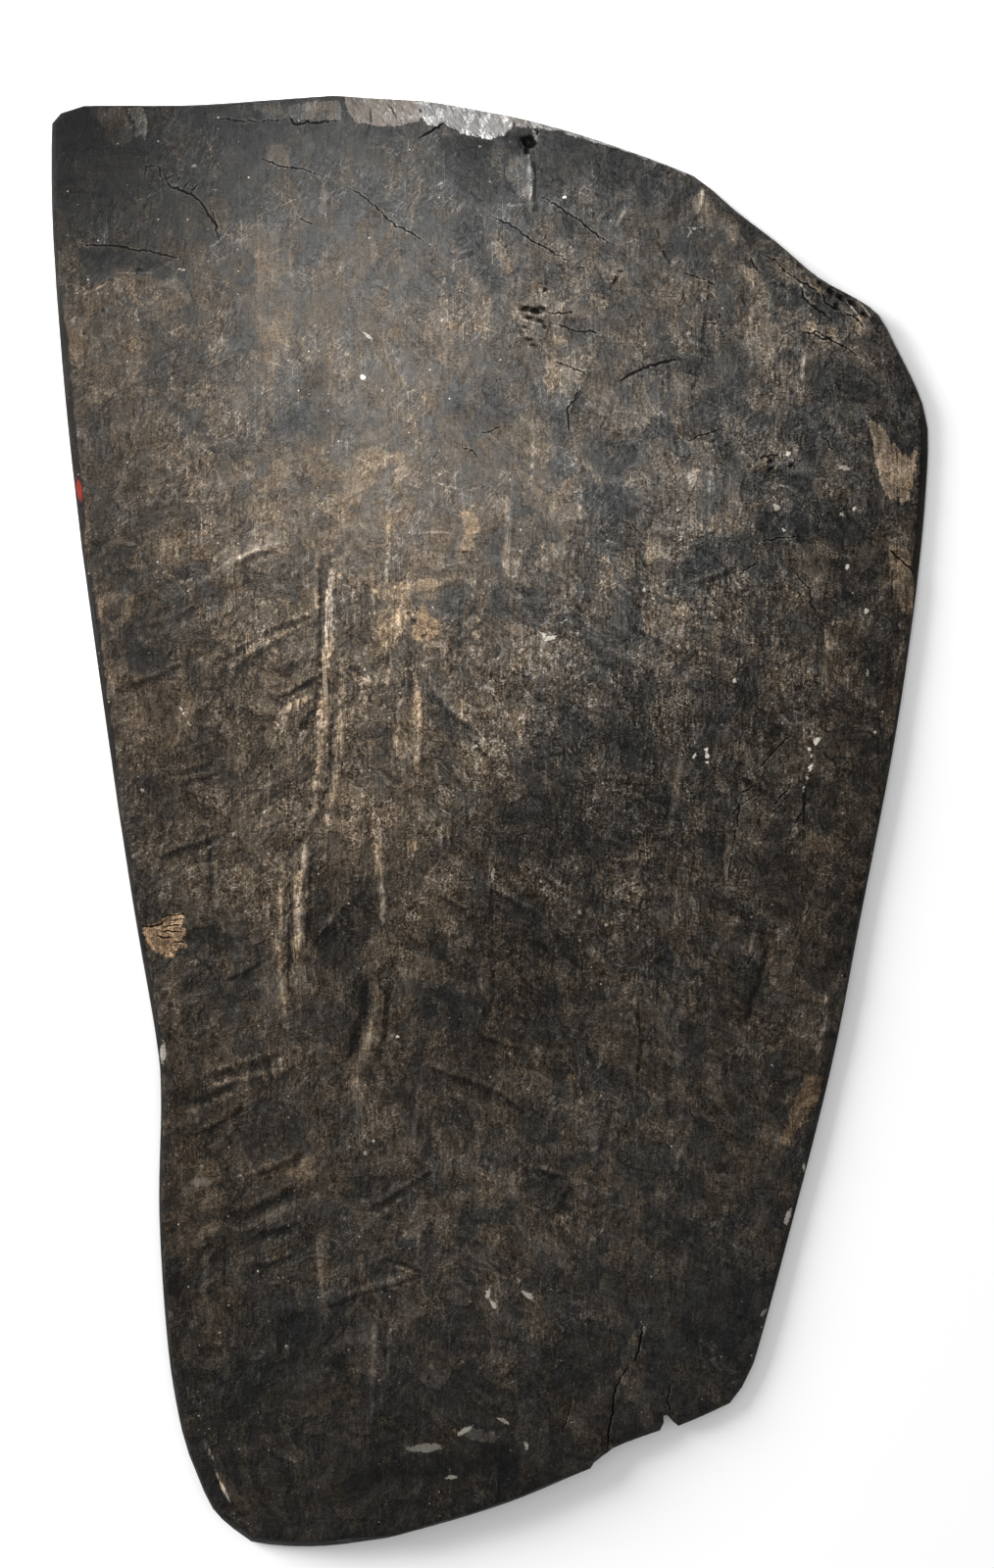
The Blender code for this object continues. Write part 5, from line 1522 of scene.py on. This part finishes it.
# %% Tones
DARKEST = 0.0042
TONE_RANGE = 80.0
COOL_TINT = (0.985, 1.00, 0.97, 1)
WARM_TINT = (1.38, 1.00, 0.64, 1)
ORANGE_TINT = (1.50, 1.00, 0.60, 1)
CHIP_TAN = (0.115, 0.101, 0.088, 1)
# The silver of the broken edge is partly a painted sheen, the white is painted highlights that glint on it,
# and the dark is painted shade in its furrows.
CHIP_SILVER = (0.165, 0.165, 0.165, 1)
CHIP_GLINT_WHITE = (0.45, 0.44, 0.43, 1)
FURROW_SHADE_DARK = (0.04, 0.033, 0.028, 1)
DIRT_WHITE = (0.55, 0.51, 0.44, 1)
# Painted shade inside holes and cracks, and the black of the rim's bevel, which is partly soot and partly
# painted shade.
SOOT_AND_SHADE_BLACK = (0.003, 0.0027, 0.0024, 1)
RED_PAINT = (0.16, 0.012, 0.006, 1)
# Pale dirt, and the painted highlight on the knot's dome at the left edge.
DIRT_AND_GLINT_GREY = (0.16, 0.155, 0.13, 1)
SHEEN_LEVEL = 0.07


def fresh_bench(material):
    """An empty tree with its output and shader, and the place on the board in millimetres."""
    material.use_nodes = True
    material.node_tree.nodes.clear()
    bench = Bench(material.node_tree)
    shader = bench.add("ShaderNodeBsdfPrincipled", {"Specular IOR Level": SHEEN_LEVEL})
    bench.add("ShaderNodeOutputMaterial", {"Surface": shader.outputs[0]})
    place = bench.add("ShaderNodeTexCoord", {}).outputs["Object"]
    return bench, shader, bench.scale(place, 1 / MM)


def toned(bench, tone, warmth, orange=0.0):
    """The colour of a tone from 0 to 1, between the cool and the warm tint, or orange."""
    strength = bench.product(bench.calc("POWER", TONE_RANGE, bench.clamped(tone)), DARKEST)
    tint = bench.blend(orange, bench.blend(bench.clamped(warmth), COOL_TINT, WARM_TINT), ORANGE_TINT)
    return bench.scale(tint, strength)


print("tones from", DARKEST, "to", round(DARKEST * TONE_RANGE, 3))

# %% [markdown]
# The first layers are the patches, the scoops and the grain. The grain counts more where the rust cloud
# is thick, which is how the brown comes and goes in flurries.

# %% Patches, scoops and grain
bench, shader, place = fresh_bench(board.data.materials[FACE])
texture, warmth, light = bench.attribute("zone")
ridge, hewing, _ = bench.attribute("ridge")
fibre, dash, grit = use(bench, grain_group, {"Place": place})[:3]
broad, hewn, blot, band, flake, chip, nick, brink = use(bench, mottle_group, {"Place": place})[:8]
craze, craze_lip = use(bench, craze_group, {"Place": place})[:2]
rust = bench.cloud(place, (17, 28, 17), 4.0, 0.62, 0.3)
pore = bench.fit(dash, 0.30, 0.0)

hewn_tone = bench.sway((0.08, hewn), (0.05, nick))
patch_tone = bench.sway((0.05, broad), (0.045, blot), (0.05, band), (0.045, flake), (0.04, chip),
                        (0.04, ridge))
patch_tone = bench.total(patch_tone, (-0.12, brink))
fine_tone = bench.sway((0.06, fibre), (0.07, dash), (0.15, grit))
fine_tone = bench.total(fine_tone, (-0.18, craze), (0.07, craze_lip), (-0.12, pore))
fine_tone = bench.product(fine_tone, texture, bench.fit(rust, 0.15, 0.85, 0.65, 1.28))
bench.report("patches and grain")

# %% [markdown]
# Smooth black and bare wood have borders that waver with the patches and the grain, and some are softer
# than others. Bare wood is tan, or orange where it is strong and warm, and the fibres break it up.

# %% Smooth black and bare wood
smooth_depth, smooth_tint, smooth_share = bench.attribute("smooth")
bare_depth, bare_tint, bare_share = bench.attribute("bare")
softness = bench.fit(bench.cloud(place, (36, 50, 36)), 0.25, 0.75, 0.3, 3.5)
smooth_ragged = bench.sway((4.2, blot), (1.4, chip), (0.7, grit))
smooth_in = bench.product(draw_area(bench, smooth_depth, smooth_ragged, softness), smooth_share)
smooth_cool = bench.product(smooth_in, smooth_tint)

bare_ragged = bench.sway((1.2, fibre), (1.6, blot), (0.8, grit))
bare_soft = bench.product(softness, bench.fit(bare_share, 0.3, 0.6, 1.0, 0.3))
bare_area = draw_area(bench, bare_depth, bare_ragged, bare_soft)
orange = bench.product(bare_area, bench.fit(bench.product(bare_share, bare_tint), 0.40, 0.70))
bare_grain = bench.fit(bench.total(0.0, (0.5, fibre), (0.5, grit)), 0.25, 0.65, 0.65, 1.0)
bare_in = bench.product(bare_area, bare_share, bare_grain)

streak_far, streak_half, streak_share = bench.attribute("streak")
streak_half = bench.product(streak_half, 1.35)
streak_line = draw_line(bench, streak_far, streak_half, bench.sway((0.8, fibre)), 0.9)
bench.report("smooth and bare wood")

# %% [markdown]
# Now the layers are put together. The grain is calmer on smooth black, on orange wood and on streaks.

# %% Tone and warmth of the wood
calmed = bench.highest(smooth_cool, orange, streak_line, bench.product(bare_in, 1.3))
fine_tone = bench.product(fine_tone, bench.total(1.0, (-0.6, bench.clamped(calmed))))
calm = bench.calc("MINIMUM", texture, 1.1)
tone = bench.total(light, (calm, patch_tone), (bench.product(hewing, calm), hewn_tone), (1.0, fine_tone),
                   (-0.21, smooth_in), (0.30, bare_in))
warm_patches = bench.sway((0.175, broad), (0.125, flake), (0.075, blot), (0.09, band), (0.25, rust))
warmth = bench.total(warmth, (1.0, warm_patches), (-0.8, smooth_cool), (0.05, bare_in),
                     (0.9, bench.product(bare_in, bare_tint)))
paling = bench.total(1.0, (-2.4, fine_tone), (-1.5, patch_tone))
warmth = bench.product(warmth, bench.highest(paling, 0.0))
bench.report("tone and warmth")

# %% [markdown]
# Streaks are paler than the wood and grooves darker. A stroke has painted shade on one side of its middle
# line, and a painted highlight on its raised lip on the other side.

# %% Streaks, grooves and strokes
streak = bench.product(streak_line, streak_share, bench.fit(fibre, 0.10, 0.55))
groove_far, groove_half, _ = bench.attribute("groove")
groove = draw_line(bench, groove_far, groove_half, bench.sway((1.0, fibre)), 0.9)
stroke_far, stroke_half, stroke_side = bench.attribute("stroke")
stroke = draw_line(bench, stroke_far, stroke_half, bench.sway((0.8, grit), (1.6, blot)), 0.95)
stroke_painted_shade = bench.product(stroke, bench.fit(stroke_side, 0.35, -0.45))
stroke_painted_highlight = bench.product(stroke, bench.fit(stroke_side, 0.05, 0.60))
tone = bench.total(tone, (1.35, streak), (-0.34, groove), (-0.25, stroke_painted_shade), (0.18, stroke_painted_highlight))
bench.report("streaks and strokes")

# %% [markdown]
# Three sets of long scratches and three of short, broad ones cross the face, and the last of them are dark
# cuts. Cracks are painted nearly black, as the shade inside them, with a pale lip on either side. Splinters
# are pale, round the holes.

# %% Scratches, cracks and splinters
scratches = bench.highest(
    scratched(bench, place, -0.42, 34.0, 0.9, 0.67),
    scratched(bench, place, 0.36, 26.0, 0.9, 0.68),
    scratched(bench, place, 1.54, 40.0, 0.9, 0.66),
)
scuff_up = scratched(bench, place, -0.85, 9.0, 1.8, 0.60)
scuff_down = scratched(bench, place, 0.75, 8.0, 1.6, 0.61)
cuts = scratched(bench, place, -1.15, 15.0, 1.4, 0.62)

crack_far, crack_half, _ = bench.attribute("crack")
crack_ragged = bench.sway((0.25, grit), (0.25, dash))
crack = draw_line(bench, crack_far, crack_half, crack_ragged, 0.7)
crack_lip = draw_line(bench, bench.calc("SUBTRACT", crack_far, 1.3), crack_half, crack_ragged, 0.8)
pit_depth = bench.attribute("pit")[0]
pit_in = draw_area(bench, pit_depth, bench.sway((1.0, dash), (1.2, grit), start=-0.2), 0.4)
splinters = bench.product(bench.fit(pit_depth, -5.0, -0.5), bench.fit(dash, 0.45, 0.80))

tone = bench.total(tone, (0.20, scratches), (0.12, scuff_up), (0.10, scuff_down), (-0.16, cuts),
                   (0.10, crack_lip), (-0.60, crack), (0.16, splinters))
colour = toned(bench, tone, warmth, orange)
bench.report("scratches and cracks")

# %% [markdown]
# The broken edge is tan, or silver that is partly a painted sheen on its bevel. Painted highlights glint on
# the silver, and painted shade darkens its furrows and its cracks.

# %% Colour of the broken edge
break_depth, break_tint, _ = bench.attribute("broken")
break_in = draw_area(bench, break_depth, bench.sway((2.2, blot), (0.8, grit)), 0.5)
furrows = bench.cloud(bench.turn(place, 1.08), (9, 0.9, 6), 2.0, 0.6, 0.3)
break_mix = bench.total(break_tint, (1.0, bench.sway((0.5, rust), (0.2, chip))))
break_glint = bench.fit(bench.total(0.0, (0.6, blot), (0.4, grit)), 0.48, 0.70)
break_colour = bench.blend(bench.clamped(break_mix), CHIP_TAN, CHIP_SILVER)
break_colour = bench.blend(bench.product(break_glint, break_mix), break_colour, CHIP_GLINT_WHITE)
break_colour = bench.blend(bench.fit(furrows, 0.58, 0.12, 0.0, 0.8), break_colour, FURROW_SHADE_DARK)
break_colour = bench.blend(bench.product(crack, 0.8), break_colour, SOOT_AND_SHADE_BLACK)
colour = bench.blend(break_in, colour, break_colour)
bench.report("broken edge")

# %% [markdown]
# The rim's bevel is black except on the break: partly its own soot, partly painted shade, as a slope turned
# aside from a frontal light would have. Red paint, holes painted black as the shade inside them, drops of
# dirt with one painted highlight on a knot, and dust come last.

# %% Rim, paint, holes and dirt
rim_ragged = bench.sway((1.2, blot), (0.4, grit))
rim_in = draw_area(bench, bench.attribute("rim")[0], rim_ragged, 0.8)
rim = bench.product(bench.calc("SUBTRACT", 1.0, rim_in), bench.calc("SUBTRACT", 1.0, break_in))
paint_in = draw_area(bench, bench.attribute("paint")[0], bench.sway((0.8, blot)), 0.8)
fleck_depth, fleck_tint, fleck_share = bench.attribute("fleck")
fleck_in = draw_area(bench, fleck_depth, bench.sway((0.8, grit), (0.8, blot), start=-0.35), 0.35)
fleck_in = bench.product(fleck_in, bench.fit(bench.total(fleck_share, (0.4, fleck_tint)), 0.6, 1.4))
dust = use(bench, dust_group, {"Place": place, "Share": 0.10})["Mask"]
dust = bench.product(dust, bench.fit(blot, 0.35, 0.80))

for share, paint in (
    (bench.product(rim, 0.88), SOOT_AND_SHADE_BLACK),
    (bench.product(paint_in, 0.8), RED_PAINT),
    (bench.product(pit_in, 0.92), SOOT_AND_SHADE_BLACK),
    (fleck_in, bench.blend(fleck_tint, DIRT_AND_GLINT_GREY, DIRT_WHITE)),
    (bench.product(dust, 0.45), DIRT_WHITE),
):
    colour = bench.blend(share, colour, paint)
bench.feed(shader.inputs["Base Color"], colour)
bench.report("rim and dirt")

# %% [markdown]
# Bare wood and cracks are dull, and smooth black shines a little. The relief that is too fine for the
# mesh is a bump, weighed in millimetres, and it is weaker where the texture is calm.

# %% Gloss and the finest relief
roughness = bench.total(0.42, (0.30, bare_in), (0.12, flake), (-0.06, smooth_in), (0.35, crack), (0.10, grit))
height = bench.total(0.0, (0.08, fibre), (0.14, dash), (0.09, grit), (-0.35, craze), (0.60, hewn),
                     (0.40, flake), (0.30, chip), (0.60, blot), (-0.8, crack), (-1.2, pit_in))
strength = bench.calc("MULTIPLY", texture, 0.75, clamp=True)
bump = bench.add("ShaderNodeBump", {"Height": height, "Distance": 1.0 * MM, "Strength": strength})
bench.feed(shader.inputs["Roughness"], roughness)
bench.feed(shader.inputs["Normal"], bump.outputs[0])
bench.report("worn face")

# %% [markdown]
# ## Side wall and back
#
# Neither shows in the photograph, except for a sliver of the wall, which is nearly black. Both are the same
# plank with less handling. The wall is set nearly black, partly for its whole soot and partly as painted
# shade on a side turned aside from a frontal light, and the back has kept more of its brown.

# %% Side wall and back
for side, start_tone, start_warmth, sheen in ((WALL, 0.02, 0.2, 0.08), (BACK, 0.42, 0.4, SHEEN_LEVEL)):
    bench, shader, place = fresh_bench(board.data.materials[side])
    grain = use(bench, grain_group, {"Place": place, "Fibre Width": 1.8, "Fibre Length": 60.0})
    fibre, dash, grit = grain["Fibre"], grain["Dash"], grain["Grit"]
    mottle = use(bench, mottle_group, {"Place": place, "Patch": 50.0})
    broad, blot, band = mottle["Broad"], mottle["Blot"], mottle["Band"]
    tone = bench.sway((0.08, broad), (0.06, blot), (0.10, band), (0.10, fibre), (0.06, dash), (0.06, grit),
                      start=start_tone)
    tone = bench.total(tone, (0.15, scratched(bench, place, 1.5, 60.0, 0.9, 0.66)))
    warmth = bench.sway((0.2, broad), (0.2, band), start=start_warmth)
    height = bench.total(0.0, (0.25, fibre), (0.15, dash), (0.08, grit), (0.20, broad))
    bump = bench.add("ShaderNodeBump", {"Height": height, "Distance": 1.0 * MM, "Strength": 1.0})
    bench.feed(shader.inputs["Specular IOR Level"], sheen)
    bench.feed(shader.inputs["Base Color"], toned(bench, tone, warmth))
    bench.feed(shader.inputs["Roughness"], bench.total(0.55, (0.15, broad)))
    bench.feed(shader.inputs["Normal"], bump.outputs[0])
    bench.report(board.data.materials[side].name)

# %% [markdown]
# ## Finish
#
# The piece is shaded smooth except along its sharp arris, rides on the frame's only body, and stands for
# the plain solid. A closed mesh has two faces at every edge, so the open edges are counted as a check.

# %% Finish
ARRIS = math.radians(50)

form = bmesh.new()
form.from_mesh(board.data)
print("triangles:", len(form.faces), "open edges:", sum(not edge.is_manifold for edge in form.edges))
form.free()
only(board)
bpy.ops.object.shade_smooth_by_angle(angle=ARRIS)
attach(board, "root")
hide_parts("shield_board")
